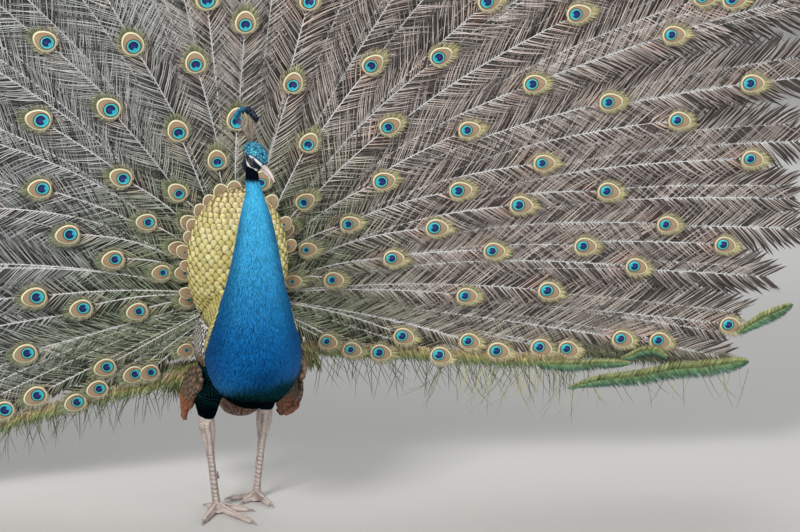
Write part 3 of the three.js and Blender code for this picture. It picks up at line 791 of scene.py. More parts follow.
# The belly, flanks and back: dull black-brown, turning to buff behind.
rear = Plumage()
t, turn = staggered(body_surface, body_t(3.7), body_t(0.5), lambda t: 11.0, lambda t: 10.0, 31)
p = body_surface(t, turn)
keep = (mantle_depth(p) > 0.98) & ((p[:, 2] < 372) | (p[:, 1] > 120))
t, turn, p = t[keep], turn[keep], p[keep]
tint = varied(plumage_tint(p), 0.3, 32)
lay_vanes(rear, body_surface, t, turn, -1, 26, 15, tint, tint * 1.4 + 0.002, "scale", rise=3.0, proud=-1.6,
          slant=rng.uniform(-0.06, 0.06, len(t)), clear=1.6)
rear.make("flank_plumage", silk, "body_feathers")


# ---------- Down under the tail ----------
# Loose fluffy feathers, warm brown in front and grey-white behind, that hang from the vent. A brown base
# under them closes the gaps.
down_paint = feather_paint("vent_down", barbs=4, rim=(0.5, 0.98), rough=0.8, sheen=0.3, streak=0.3, mottle=0.3)
bm = bmesh.new()
rounded(bm, vent_surface, -9.0, 28, 20)
down_skin, tree, shader = new_paint("down_base")
wisps = tree.nodes.new("ShaderNodeTexNoise")
wisps.inputs["Scale"].default_value = 90
ramp = tree.nodes.new("ShaderNodeValToRGB")
ramp.color_ramp.elements[0].color = (0.05, 0.028, 0.016, 1)
ramp.color_ramp.elements[1].color = (0.16, 0.09, 0.05, 1)
where = tree.nodes.new("ShaderNodeTexCoord")
tree.links.new(where.outputs["Object"], wisps.inputs["Vector"])
tree.links.new(wisps.outputs["Fac"], ramp.inputs["Fac"])
tree.links.new(ramp.outputs["Color"], shader.inputs["Base Color"])
shader.inputs["Roughness"].default_value = 0.9
down_base = add_piece("down_base", bm, [down_skin])
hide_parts("vent")
down = Plumage()
t, turn = staggered(vent_surface, 0.08, 0.95, lambda t: 9.0, lambda t: 8.0, 41)
p = vent_surface(t, turn)
front_share = smooth(160, 120, p[:, 1]) * 0.75 + 0.25 * smooth(0.2, -0.6, np.sin(turn))
tint = varied(mix((0.26, 0.20, 0.15), (0.12, 0.042, 0.017), front_share), 0.3, 42)
lay_vanes(down, vent_surface, t, turn, 1, 30, 10, tint, tint * 1.5, "lance", rise=5, proud=-5,
          slant=rng.uniform(-0.3, 0.3, len(t)))
down.make("vent_plumage", down_paint, "vent_down")


# ---------- Head ----------
# Small bead-like feathers over the crown, black velvet on the cheeks and throat, bare white skin above and
# below the eye, glass eyes under the lids, and a short arched bill of pale horn.
beads = feather_paint("crown_beads", barbs=2, rim=(0.72, 0.98), rough=0.30, metal=0.30, streak=0.1,
                      mottle=0.35, scale=600)
crown = Plumage()
for surface, first, seed in ((skull_surface, 0.98, 51), (throat_surface, 0.97, 52)):
    t, turn = staggered(surface, first, 0.03, lambda t: np.interp(t, [0, 1], [3.0, 2.4]),
                        lambda t: np.interp(t, [0, 1], [3.3, 2.7]), seed, 0.35)
    p = surface(t, turn)
    left, ahead, up = head_parts(p)
    eye_gap = np.hypot(ahead - 1, up) + 30 * (np.abs(left) < 6)
    keep = (bare_skin(p) < 0.25) & (eye_gap > 8.0) & (bare_skin(p - ahead_way * 4.2) < 0.4)
    if surface is throat_surface:
        keep &= up < -8
    else:
        keep &= ~((up < -12) & (ahead > -20))
    bill_root = (ahead > 13) & (np.hypot(left, up + 2) < 6)
    keep &= ~bill_root
    t, turn, p = t[keep], turn[keep], p[keep]
    left, ahead, up = head_parts(p)
    top = smooth(3, 8, up + 0.15 * ahead)
    tint = head_tint(p)
    # Painted light: each crown bead is lit at random, from dark blue to bright cyan, as a glint, and its rim is
    # near black, as painted shade between the beads.
    painted_glint = rng.uniform(0, 1, len(t)) ** 1.3
    tint = mix(varied(tint, 0.3, seed + 2), mix((0.004, 0.07, 0.20), (0.14, 0.70, 0.90), painted_glint), top)
    rim = mix(tint, tint * 0.08, top)
    lay_vanes(crown, surface, t, turn, -1, np.where(top > 0.5, 5.4, 5.0), np.where(top > 0.5, 3.9, 2.7),
              tint, np.minimum(rim, 0.95), "round", rise=0.6, proud=-1.0, ridge=0.22)
crown.make("crown_and_cheek_plumage", beads, "crown_feathers")


def plain_paint(name, colour, rough, coat, dark, scale=40.0, bump=0.0, spread=(0.35, 0.65)):
    """A mottled finish between two tones, with a fine relief."""
    material, tree, shader = new_paint(name)
    shader.inputs["Roughness"].default_value = rough
    shader.inputs["Coat Weight"].default_value = coat
    where = tree.nodes.new("ShaderNodeTexCoord")
    mottle = tree.nodes.new("ShaderNodeTexNoise")
    mottle.inputs["Scale"].default_value = scale
    mottle.inputs["Detail"].default_value = 5
    ramp = tree.nodes.new("ShaderNodeValToRGB")
    ramp.color_ramp.elements[0].position, ramp.color_ramp.elements[1].position = spread
    ramp.color_ramp.elements[0].color = (*dark, 1)
    ramp.color_ramp.elements[1].color = (*colour, 1)
    tree.links.new(where.outputs["Object"], mottle.inputs["Vector"])
    tree.links.new(mottle.outputs["Fac"], ramp.inputs["Fac"])
    tree.links.new(ramp.outputs["Color"], shader.inputs["Base Color"])
    if bump:
        relief = tree.nodes.new("ShaderNodeBump")
        relief.inputs["Distance"].default_value = bump
        relief.inputs["Strength"].default_value = 0.5
        tree.links.new(mottle.outputs["Fac"], relief.inputs["Height"])
        tree.links.new(relief.outputs["Normal"], shader.inputs["Normal"])
    return material


eye_paint, tree, shader = new_paint("glass_eye")
shader.inputs["Roughness"].default_value = 0.08
shader.inputs["Coat Weight"].default_value = 0.8
iris_uv = tree.nodes.new("ShaderNodeUVMap")
iris_uv.uv_map = "Blade"
iris_parts = tree.nodes.new("ShaderNodeSeparateXYZ")
tree.links.new(iris_uv.outputs["UV"], iris_parts.inputs["Vector"])
iris = tree.nodes.new("ShaderNodeValToRGB")
iris.color_ramp.elements[0].color = (0.002, 0.002, 0.003, 1)
iris.color_ramp.elements[0].position = 0.44
iris.color_ramp.elements[1].color = (0.10, 0.045, 0.018, 1)
iris.color_ramp.elements[1].position = 0.47
outer = iris.color_ramp.elements.new(0.86)
outer.color = (0.055, 0.025, 0.012, 1)
rim_dark = iris.color_ramp.elements.new(0.95)
rim_dark.color = (0.01, 0.008, 0.008, 1)
tree.links.new(iris_parts.outputs["X"], iris.inputs["Fac"])
tree.links.new(iris.outputs["Color"], shader.inputs["Base Color"])
for side_name, sign in (("left", 1), ("right", -1)):
    bm = bmesh.new()
    uv = bm.loops.layers.uv.new("Blade")
    made = bmesh.ops.create_uvsphere(bm, u_segments=32, v_segments=24, radius=1)["verts"]
    gaze = left_way * sign
    centre = eye_centre(sign) - gaze * 0.9
    along = np.cross(up_way, gaze)
    away = {}
    for vert in made:
        x, y, z = vert.co
        away[vert] = math.acos(max(-1, min(1, z))) / (math.pi / 2)
        vert.co = centre + (gaze * z + up_way * x + along * y) * EYE_BALL
    for face in bm.faces:
        for loop in face.loops:
            loop[uv].uv = (min(1, away[loop.vert] * 1.15), 0.5)
    eye = add_piece("eyeball_" + side_name, bm, [eye_paint])
    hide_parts("eye_" + side_name)

lid_paint = plain_paint("eyelid", (0.13, 0.12, 0.125), 0.5, 0.0, (0.05, 0.045, 0.05), 500, 0.0003)
bm = bmesh.new()
for sign in (-1, 1):
    gaze = left_way * sign
    centre = eye_centre(sign)
    ring, tube = 40, 10
    grid = []
    for i in range(ring):
        turn = 2 * math.pi * i / ring
        squint = 5.1 if math.sin(turn) > 0 else 5.3
        reach_out = ahead_way * math.cos(turn) * 5.9 + up_way * math.sin(turn) * squint
        bulge = 1.9 - 1.6 * abs(math.cos(turn)) ** 4
        spot = centre + reach_out + gaze * (bulge + 1.6)
        outward = reach_out / np.linalg.norm(reach_out)
        grid.append([bm.verts.new(spot + outward * math.cos(v) * 1.25 + gaze * math.sin(v) * 0.8)
                     for v in (2 * math.pi * j / tube for j in range(tube))])
    for i in range(ring):
        for j in range(tube):
            bm.faces.new([grid[i][j], grid[(i + 1) % ring][j], grid[(i + 1) % ring][(j + 1) % tube],
                          grid[i][(j + 1) % tube]])
lids = add_piece("eyelids", bm, [lid_paint])

horn = plain_paint("bill_horn", (0.66, 0.57, 0.55), 0.42, 0.15, (0.42, 0.34, 0.31), 60, 0.0004)
bm = bmesh.new()
bill_surface = head_limb([(0, 12, -2, 5.4, 5.2), (0, 23, -2.2, 4.7, 4.7), (0, 33, -3.2, 3.9, 4.0),
                          (0, 42, -5.4, 3.0, 3.3), (0, 50, -8.8, 1.9, 2.2), (0, 55.5, -13, .7, 1.0)], 0.10)
rounded(bm, bill_surface, 0, 28, 48)
for vert in bm.verts:
    left, ahead, up = head_parts(np.array(vert.co))
    lip = -5.9 - 0.0020 * max(0, ahead - 12) ** 2.0 - 2.2 * max(0, (ahead - 44) / 12) ** 2
    if up < lip:
        vert.co += Vector(up_way * (lip - up) * 0.75)
    for sign in (-1, 1):
        nostril = np.array([left - sign * 4.0, (ahead - 26) / 2.4, up + 1.2])
        deep = max(0, 1 - np.linalg.norm(nostril) / 1.9)
        vert.co -= Vector(left_way * sign * deep * 2.0)
upper = add_piece("bill_upper_horn", bm, [horn])
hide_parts("bill_upper")
bm = bmesh.new()
rounded(bm, head_limb([(0, 12, -8.8, 4.9, 2.8), (0, 23.5, -8.6, 4.2, 2.3), (0, 36, -9.6, 2.8, 1.7),
                       (0, 46, -11.4, .8, .8)], 0.12), 0, 24, 30)
lower = add_piece("bill_lower_horn", bm, [horn])
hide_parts("bill_lower")


# ---------- Crest ----------
# A fan of bare pale stems on the crown, each ending in a small blue-green tip. Each tip is two vanes that cross,
# so that it shows from every side.
crest_paint = feather_paint("crest_tips", barbs=6, rim=(0.6, 1.0), rough=0.3, metal=0.4, coat=0.3, mottle=0.2)
CREST_STEMS = 24
crest = Plumage()
for layer, lean_aside in enumerate((-1, 1, 0)):
    share = (np.arange(CREST_STEMS // 3 + 1) + layer / 3) / (CREST_STEMS // 3 + 1)
    back = np.radians(4 + 62 * share) + rng.uniform(-0.03, 0.03, len(share))
    aside = lean_aside * rng.uniform(0.5, 3.0, len(share))
    roots = on_head(np.stack([aside * 0.3, -22 - 10 * share, 17 + 0 * share], -1))
    reach = (43 + 9 * np.sin(share * math.pi) + 3) * rng.uniform(0.95, 1.04, len(share))
    v = np.linspace(0, 1, 5)
    way = (np.cos(back)[:, None] * up_way - np.sin(back)[:, None] * ahead_way
           + (aside * 0.02)[:, None] * left_way)
    path = roots[:, None] + way[:, None] * (reach[:, None] * v)[..., None]
    path = path - (ahead_way * 3.0) * (v ** 2)[None, :, None]
    sides = np.cross(way, left_way)
    out = left_way * np.ones((len(share), 1))
    crest.add(path, np.repeat((-sides * 0.75)[:, None], 5, 1), np.repeat((out * 0.6)[:, None], 5, 1),
              varied(np.tile((0.50, 0.40, 0.33), (len(share), 1)), 0.3, 61), tail=v)
    tip_reach = rng.uniform(11, 14.5, len(share))
    v6 = np.array([0, 0.2, 0.5, 0.75, 0.92, 1])
    start = path[:, -1] - way * 3
    tip_path = start[:, None] + way[:, None] * (tip_reach[:, None] * v6)[..., None]
    for facing, flat_side in ((-sides, out), (out, sides)):
        half = np.array([0.5, 1.8, 3.4, 3.8, 2.6, 0])
        # Painted sheen: the tips are nearly black at the front of the crest and turn blue-green towards its back.
        painted_sheen = smooth(0.30, 0.9, share)[:, None]
        tip_tint = (1 - painted_sheen) * np.array([0.003, 0.010, 0.030]) + painted_sheen * np.array([0.01, 0.20, 0.34])
        crest.add(tip_path, facing[:, None] * half[None, :, None], flat_side[:, None] * 0.5 * np.ones((1, 6, 1)),
                  tip_tint, tip_tint * 2.2, tail=v6)
crest.make("crest_feathers", crest_paint, "crest_feathers", ("crest",))


# ---------- Legs ----------
# Bare scaly shanks with overlapping plates down the front, a spur on the inside, and four spread toes.
def turn_towards(limb, axis, sign):
    """Which quarter turn, a positive or a negative one, faces one way along an axis half-way down a limb."""
    quarter = math.pi / 2
    one, other = (limb(np.array([0.5]), np.array([turn]))[0, axis] * sign for turn in (quarter, -quarter))
    return quarter if one > other else -quarter


leg_paint = plain_paint("leg_skin", (0.56, 0.47, 0.43), 0.55, 0.05, (0.27, 0.21, 0.18), 34, 0.0006, (0.36, 0.56))
body_skin.data.materials.append(leg_paint)
claw_paint = plain_paint("claw_horn", (0.46, 0.39, 0.35), 0.4, 0.1, (0.30, 0.25, 0.22), 80)
plates = Plumage()
for name, leg in LEGS.items():
    hock, ankle = np.array(leg["hock"], float), np.array(leg["ankle"], float)
    at = lambda t, wide, deep: (*(hock + (ankle - hock) * t), wide - 0.3, deep - 0.3)
    shank = limb_surface([at(-0.2, 11, 12), at(0, 15.5, 15), at(0.16, 13.5, 13), at(0.34, 8.6, 10),
                          at(0.6, 7.4, 8.4), at(0.88, 7.6, 8.6), at(1.02, 9.5, 9.5)], dome=0.1)
    bm = bmesh.new()
    rounded(bm, shank, 0, 32, 60)
    rounded(bm, lambda t, turn, grow: np.stack([
        ankle[0] + 11 * np.sin(t * math.pi) * np.cos(turn), ankle[1] + 11 * np.sin(t * math.pi) * np.sin(turn),
        9.6 + 9 * np.cos((1 - t) * math.pi)], -1), 0, 24, 16)
    for tip in leg["toes"]:
        start, end = ankle[:2], np.array(tip, float)
        way = (end - start) / np.linalg.norm(end - start)
        reach = np.linalg.norm(end - start) - 13
        toe = limb_surface([(*(start + way * reach * s), h, r, r) for s, h, r in (
            (-0.08, 10, 8), (0.12, 8.6, 8.4), (0.30, 6.6, 6.9), (0.36, 6.4, 7.4), (0.5, 5.7, 6.1),
            (0.62, 5.4, 6.3), (0.75, 5.1, 5.3), (0.88, 4.9, 5.2), (1.0, 4.4, 4.0))],
            flat=(-way[1], way[0], 0), dome=0.08)
        rounded(bm, toe, 0, 20, 44)
        t = np.linspace(0.12, 0.93, max(8, int(reach / 4.6)))
        lay_vanes(plates, toe, t, np.full(len(t), turn_towards(toe, 2, 1)), 1, 6.6,
                  np.interp(t, [0, 1], [12, 6.6]), varied(np.tile((0.58, 0.50, 0.46), (len(t), 1)), 0.12, 71),
                  None, "round", rise=0.35, proud=-0.5, ridge=0.07)
    for first, second in ((0, 1), (1, 2)):
        ends = [np.array(leg["toes"][i], float) for i in (first, second)]
        ways = [(end - ankle[:2]) / np.linalg.norm(end - ankle[:2]) for end in ends]
        middle = (ways[0] + ways[1]) / np.linalg.norm(ways[0] + ways[1])
        rounded(bm, limb_surface([(*(ankle[:2] + middle * d), h, w, r) for d, h, w, r in (
            (0, 8, 9, 7.5), (10, 6, 9.5, 5.0), (20, 4.4, 9, 3.0), (27, 3.6, 6, 1.6))],
            flat=(-middle[1], middle[0], 0), dome=0.2), 0, 20, 20)
    for vert in bm.verts:
        vert.co.z = max(0.15, vert.co.z)
    leg_mesh = fused("leg_" + name, bm, LEG_VOXEL)
    bm = bmesh.new()  # the legs belong to the one skin
    bm.from_mesh(leg_mesh)
    bmesh.ops.scale(bm, vec=Vector((MM, MM, MM)), verts=bm.verts)
    bmesh.ops.translate(bm, vec=Vector(SHIFT), verts=bm.verts)
    for face in bm.faces:
        face.material_index, face.smooth = 1, True
    bm.from_mesh(body_skin.data)
    bm.to_mesh(body_skin.data)
    bm.free()
    t = np.linspace(0.14, 0.94, 26)
    front_turn = turn_towards(shank, 1, -1)
    lay_vanes(plates, shank, t, np.full(len(t), front_turn) + rng.uniform(-0.08, 0.08, len(t)), 1, 9.5,
              np.interp(t, [0, 0.3, 1], [17, 12, 12]),
              varied(np.tile((0.58, 0.50, 0.455), (len(t), 1)), 0.08, 72), None, "round", rise=0.35, proud=-0.6,
              ridge=0.06)
    for offset, seed in ((1.15, 73), (-1.15, 74), (2.4, 75), (-2.4, 76)):
        t2 = np.linspace(0.06, 0.95, 30)
        turn = np.full(len(t2), front_turn + offset) + rng.uniform(-0.12, 0.12, len(t2))
        lay_vanes(plates, shank, t2, turn, 1, 6.5, np.interp(t2, [0, 0.3, 1], [9, 6.5, 6.5]),
                  varied(np.tile((0.50, 0.43, 0.39), (len(t2), 1)), 0.15, seed), None, "round", rise=0.3,
                  proud=-0.4, ridge=0.10)
    for toe_name, tip in zip(("inner", "middle", "outer", "hind"), leg["toes"]):
        start, end = ankle[:2], np.array(tip, float)
        way = (end - start) / np.linalg.norm(end - start)
        bm = bmesh.new()
        hook = limb_surface([(*(end - way * back), h, r, r) for back, h, r in (
            (17, 5.0, 2.7), (12, 5.6, 2.6), (7, 5.2, 2.0), (3, 3.6, 1.3), (0.5, 1.7, 0.6))],
            flat=(-way[1], way[0], 0), dome=0.12)
        rounded(bm, hook, 0, 16, 24)
        claw = add_piece(f"claw_{name}_{toe_name}_horn", bm, [claw_paint])
        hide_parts(f"claw_{name}_{toe_name}")
    bm = bmesh.new()
    x, y = ankle[:2]
    rounded(bm, limb_surface([(x + 4, y + 6, 62, 3.6, 3.6), (x + 5, y + 17, 64, 2.3, 2.3),
                              (x + 5, y + 26, 69, .8, .8)], dome=0.12), 0, 16, 20)
    spur = add_piece(f"spur_{name}_horn", bm, [claw_paint])
    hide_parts("spur_" + name)
scute_paint = feather_paint("leg_plates", barbs=1, rim=(0.75, 1.0), rough=0.5, streak=0.05, mottle=0.22,
                            scale=120)
plates.make("leg_plates", scute_paint, "leg_skin")


# ---------- Wings ----------
# The folded wings droop beside the body: black and white barred shoulder feathers, a brown speckled edge,
# and chestnut flight feathers that hang below.
wing_paint = feather_paint("wing_feathers", barbs=7, rim=(0.8, 0.98), rough=0.55, streak=0.25, mottle=0.25,
                           scale=140)
WHITE_BAR, BLACK_BAR = np.array((0.80, 0.78, 0.74)), np.array((0.012, 0.012, 0.014))
BROWN_SPECK, CHESTNUT = np.array((0.16, 0.10, 0.065)), np.array((0.37, 0.098, 0.022))
wing_base = plain_paint("wing_base", (0.055, 0.042, 0.034), 0.8, 0.0, (0.02, 0.018, 0.016))
WINGS = {  # stations of the coverts and of the flight feathers below them: x, y, z, half thickness, half depth
    "left": ([(96, -58, 290, 7, 12), (106, -30, 288, 8, 24), (108, 22, 280, 8, 30), (101, 82, 268, 6, 30),
              (92, 122, 256, 3, 18)],
             [(104, -24, 262, 4, 14), (106, 8, 242, 5, 26), (100, 58, 214, 5, 32), (88, 104, 182, 3.5, 26),
              (78, 128, 162, 1.6, 12)]),
    "right": ([(-58, -70, 345, 9, 18), (-70, -40, 338, 9, 36), (-76, 22, 328, 8, 42), (-79, 82, 310, 6, 38),
               (-80, 122, 290, 3, 22)],
              [(-80, -34, 284, 4, 12), (-90, 4, 260, 5, 26), (-101, 50, 228, 5, 34), (-108, 92, 192, 4, 32),
               (-106, 120, 166, 2, 16)]),
}
VANE_SHAPE["wing"] = ((0, 0.3, 0.5, 0.62, 0.66, 0.80, 0.84, 1), (0.6, 0.97, 1.0, 0.98, 0.96, 0.82, 0.74, 0))
VANE_SHAPE["long"] = ((0, 0.3, 0.6, 0.82, 0.94, 1), (0.7, 1.0, 1.0, 0.9, 0.6, 0))
barred, chestnut = Plumage(), Plumage()
for side_name, (covert_stations, flight_stations) in WINGS.items():
    wing, flight = limb_surface(covert_stations), limb_surface(flight_stations)
    for surface, part, slot in ((wing, "wing", "barred_feathers"),
                                (flight, "flight_feathers", "chestnut_feathers")):
        bm = bmesh.new()
        rounded(bm, surface, -1.2, 32, 40)
        base = add_piece(f"{part}_base_{side_name}", bm, [wing_base])
        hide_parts(f"{part}_{side_name}")
    t, turn = staggered(wing, 0.04, 0.92, lambda t: 7.6, lambda t: 8.6, 81)
    p = wing(t, turn)
    low = smooth(322, 300, p[:, 2] + 0.25 * p[:, 1])[:, None, None] if side_name == "right" else 1.0
    bars = np.array((1, 0, 0, 0, 1, 1, 0, 0))[None, :, None]
    stripe = np.where(bars == 0, WHITE_BAR, BLACK_BAR)
    speck = np.where(bars == 0, BROWN_SPECK * 1.9, BROWN_SPECK * 0.35)
    tint = stripe * (1 - low) + speck * low
    lay_vanes(barred, wing, t, turn, 1, 26, 12, tint, tint, "wing", rise=2.0, proud=-1.2,
              slant=rng.uniform(-0.05, 0.05, len(t)))
    # The flight feathers overlap like slats, speckled brown at their roots and chestnut at their tips.
    t, turn = staggered(flight, 0.02, 0.90, lambda t: 15.0, lambda t: 9.0, 82, 0.1)
    root = smooth(222, 242, flight(t, turn)[:, 2])[:, None, None]
    tone = varied(np.tile(CHESTNUT, (len(t), 1)), 0.4, 83)[:, None] * np.linspace(0.35, 1.3, 6)[None, :, None]
    speck = np.where((np.arange(6) % 2 == 0)[None, :, None], BROWN_SPECK * 1.7, BROWN_SPECK * 0.2)
    tint = tone * (1 - root) + speck * root
    lay_vanes(chestnut, flight, t, turn, 1, 40, 13, tint, np.minimum(tint * 1.9, 0.5), "long", rise=2.6,
              proud=-1.0, slant=rng.uniform(-0.06, 0.06, len(t)), ridge=0.14)
barred.make("wing_coverts", wing_paint, "barred_feathers")
flight_paint = feather_paint("flight_feathers", barbs=12, rim=(0.78, 0.99), rough=0.5, streak=0.35, mottle=0.2)
chestnut.make("flight_feather_vanes", flight_paint, "chestnut_feathers")


# ---------- Mantle ----------
# Rounded golden-green scales over the train's root, small below and growing upwards, each with a dark edge.
# Plainer scales join them to the lower back, behind the body.
gold_paint = feather_paint("mantle_scales", barbs=9, rim=(0.87, 0.97), rough=0.42, metal=0.2,
                           streak=0.18, mottle=0.25, scale=90)
VANE_SHAPE["disc"] = ((0, 0.28, 0.5, 0.66, 0.79, 0.91, 1), (0.75, 1.0, 0.98, 0.88, 0.70, 0.42, 0))
gold = Plumage()
t, turn = staggered(mantle_surface, 0.05, 0.95, lambda t: np.interp(t, [0.1, 0.55, 0.9], [6.2, 9.6, 13]),
                    lambda t: np.interp(t, [0.1, 0.55, 0.9], [9, 13.5, 18]), 91, 0.08, steady=0.22)
p = mantle_surface(t, turn)
front_half = np.sin(turn) < 0.25
tint = mix((0.72, 0.62, 0.22), (0.92, 0.84, 0.44), rng.uniform(0, 1, len(t)))
tint = np.minimum(varied(tint, 0.14, 92), 0.95)
edge = np.tile((0.05, 0.055, 0.015), (len(t), 1))
heart = smooth(0.55, 0.85, t)[:, None] * np.array([0, 0, 0.4, 0.75, 0.45, 0, 0])  # pinkish, in the upper scales
tint = mix(tint[:, None] * np.ones((1, 7, 1)), (0.52, 0.33, 0.22), heart)
size = np.interp(t, [0.1, 0.55, 0.9], [17, 24, 33])
wide = np.interp(t, [0.1, 0.55, 0.9], [11, 17, 24])
for keep, tone, dark in ((front_half, tint, edge),
                         (~front_half, varied(np.tile((0.16, 0.14, 0.12), (len(t), 1)), .2, 93), edge)):
    lay_vanes(gold, mantle_surface, t[keep], turn[keep], 1, size[keep], wide[keep], tone[keep], dark[keep],
              "disc", rise=3.2, proud=-4.0, ridge=0.07, slant=rng.uniform(-0.03, 0.03, keep.sum()))
t, turn = staggered(body_surface, body_t(7.8), body_t(2.2), lambda t: 8.6, lambda t: 12.0, 94, 0.08, steady=0.22)
p = body_surface(t, turn)
keep = (np.sin(turn) > 0.12) & (mantle_depth(p) > 0.92) & ((p[:, 0] < 20) | (p[:, 2] > 400))
t, turn, p = t[keep], turn[keep], p[keep]
tint = varied(mix((0.10, 0.09, 0.07), (0.74, 0.65, 0.27), smooth(318, 350, p[:, 2]) * smooth(110, 70, p[:, 1])),
              0.2, 96)
lay_vanes(gold, body_surface, t, turn, -1, 22, 15, tint, tint * 0.10, "disc", rise=3.0, proud=-1.0, ridge=0.07,
          clear=2.4)
gold.make("mantle_scales", gold_paint, "gold_feathers", ("mantle",))


# ---------- Tail ----------
# Behind the train stand the stiff grey-brown tail feathers that hold it up. They and the train are laid on
# one shallow dish that leans back from the rump, measured as an angle and a distance from the train's root.
FAN_FROM, FAN_TO, EDGE_DROP = rad(-1), rad(192.5), 162.0
FAN_MIDDLE = (FAN_FROM + FAN_TO) / 2
FRONT = np.array([0, -math.cos(FAN_LEAN), -math.sin(FAN_LEAN)])


def in_plane(angle, reach):
    """How far across and up from the train's root a point of the dish lies, seen square on. The outermost
    feathers at each side start lower on the rump."""
    edge = smooth(rad(50), FAN_MIDDLE - FAN_FROM, np.abs(angle - FAN_MIDDLE))
    return reach * np.cos(angle), reach * np.sin(angle) - EDGE_DROP * edge


def on_fan(angle, reach):
    """A point of the train's shallow dish."""
    return fan_plane(*in_plane(angle, reach), FAN_DISH * (reach / FAN_REACH) ** 2)


def spread_on_fan(angle, reach, dx, dy, proud):
    """Points near a root on the dish, dx across and dy up from it, not pulled about by the dish's edges."""
    x, y = reach * np.cos(angle), reach * np.sin(angle)
    more = ((x + dx) ** 2 + (y + dy) ** 2 - reach ** 2) * FAN_DISH / FAN_REACH ** 2
    return on_fan(angle, reach) + fan_plane(*np.broadcast_arrays(dx, dy, proud + more)) - FAN_ROOT


def fan_bake(x, y):
    """The place of a blade of the fan in the unwrapping that is baked."""
    return np.stack([0.02 + 0.96 * np.clip((x + 1300) / 2600, 0, 1),
                     0.02 + 0.96 * np.clip((y + 300) / 1650, 0, 1)], -1)


def add_on_fan(pile, angle, reach, dx, dy, proud, half, lift, tint, rim=None, tail=None, front=1):
    """Blades near roots on the dish, all N x K, with a half width at each point."""
    p = spread_on_fan(angle, reach, dx, dy, proud)
    forward = np.gradient(p, axis=1)
    side = np.cross(forward, FRONT * front)
    side /= np.maximum(np.linalg.norm(side, axis=-1, keepdims=True), 1e-9)
    x, y = np.broadcast_arrays(reach * np.cos(angle) + dx, reach * np.sin(angle) + dy)
    pile.add(p, side * half[..., None], np.broadcast_to(FRONT * front, p.shape) * lift[..., None], tint, rim,
             fan_bake(x[:, 0], y[:, 0]), tail)


tail_paint = feather_paint("tail_feathers", barbs=60, rim=(0.85, 1.0), rough=0.6, streak=0.3, mottle=0.3,
                           scale=40)
tail_pile = Plumage()
angle = np.radians(np.linspace(18, 162, 20))
v = np.linspace(0, 1, 10)
reach = 60 + (330 + 6 * np.cos((angle - rad(90)) * 2))[:, None] * v
half = np.array([6, 14, 20, 24, 26, 27, 27, 25, 17, 0]) * np.ones((20, 1))
tone = varied(np.tile((0.20, 0.165, 0.135), (20, 1)), 0.15, 95)
for facing in (1, -1):
    behind = -15 - 1.2 * (np.arange(20) % 2)[:, None] - 0.8 * (facing < 0) + 0 * reach
    add_on_fan(tail_pile, angle[:, None], reach, 0, 0, behind, half, 1.2 + 0 * reach, tone, tone * 0.7, v,
               facing)
tail_pile.make("tail_feathers", tail_paint, "tail_feathers", ("tail_1", "tail_2", "tail_3", "tail_4"))


# ---------- Train feathers ----------
# Long feathers with a white shaft and loose barbs, in rows: the shorter ones lie in front. Each row's
# feathers stand between those of the next, and the longest end in a fork without an eye.
def reach_at(angle):
    """How far the train's outline lies from its root: less at its two sides."""
    return FAN_REACH - 290 * (1 - smooth(FAN_FROM, rad(38), angle)) - 440 * smooth(rad(158), FAN_TO, angle)


roots = Plumage()
for layer, (count, away, tone) in enumerate(((44, 240, (0.075, 0.078, 0.055)),
                                             (36, 180, (0.095, 0.085, 0.065)))):
    angle = np.radians(np.linspace(-46, 226, count)) + rng.uniform(-0.02, 0.02, count)
    v = np.linspace(0, 1, 8)
    below = 118 / np.maximum(-np.sin(angle), 0.01)  # none reaches below the train's lower edge
    reach = 30 + (np.minimum(away, below) + rng.uniform(-25, 10, count) - 30)[:, None] * v
    half = np.array([8, 16, 22, 26, 28, 25, 16, 0]) * np.ones((count, 1))
    for facing in (1, -1):
        add_on_fan(roots, np.full((count, 1), rad(90)), np.zeros((count, 1)), reach * np.cos(angle)[:, None],
                   reach * np.sin(angle)[:, None], 0 * reach - 6 - 1.5 * layer - 0.8 * (facing < 0), half,
                   0.8 + 0 * reach, varied(np.tile(tone, (count, 1)), 0.25, 97 + layer), None, v, facing)
roots.make("train_root_feathers", tail_paint, "train_feathers")
EYES = (  # distance from the root and the angles of the eyes there, from the bird's left round to its right
    (105, (162, 178)), (120, (30, 153)), (152, (55, 141)), (163, (37, 156)), (175, (9, 123, 185)), (200, (25, 168)),
    (206, (185,)), (221, (5, 56)), (232, (80, 139)), (241, (119,)), (259, (36, 157, 182)), (277, (3, 99, 188)),
    (306, (169,)), (323, (7, 24, 191)), (329, (67, 132)), (354, (40, 91, 109, 155)), (395, (1, 168, 187)),
    (408, (178,)), (418, (26,)), (434, (50, 77, 148)), (452, (4, 13, 122)), (460, (189,)), (475, (100,)),
    (482, (30,)), (509, (1.4,)), (517, (19, 62, 135)), (543, (38, 89, 111)), (586, (24,)), (594, (1.7, 96)),
    (597, (52, 78)), (613, (11,)), (624, (124,)), (648, (1.2,)), (650, (28,)), (692, (16, 38)), (733, (52,)),
    (755, (2.5, 21.6)), (786, (12,)), (806, (31,)), (830, (2, 42)), (855, (16,)), (917, (26,)), (961, (12.5, 34)),
    (968, (3.6,)), (1034, (20,)), (1066, (26.5,)), (1087, (34,)))
ROWS_FROM = ((0, 20, 34, 38, 52, 62, 90, 124, 136, 150, 170, 190),  # beyond these, rows at an even spacing
             (1010, 1080, 1120, 880, 790, 660, 640, 670, 580, 490, 450, 500))
train_rng = np.random.default_rng(17)
feathers = [(rad(angle), float(reach)) for reach, angles in EYES for angle in angles]
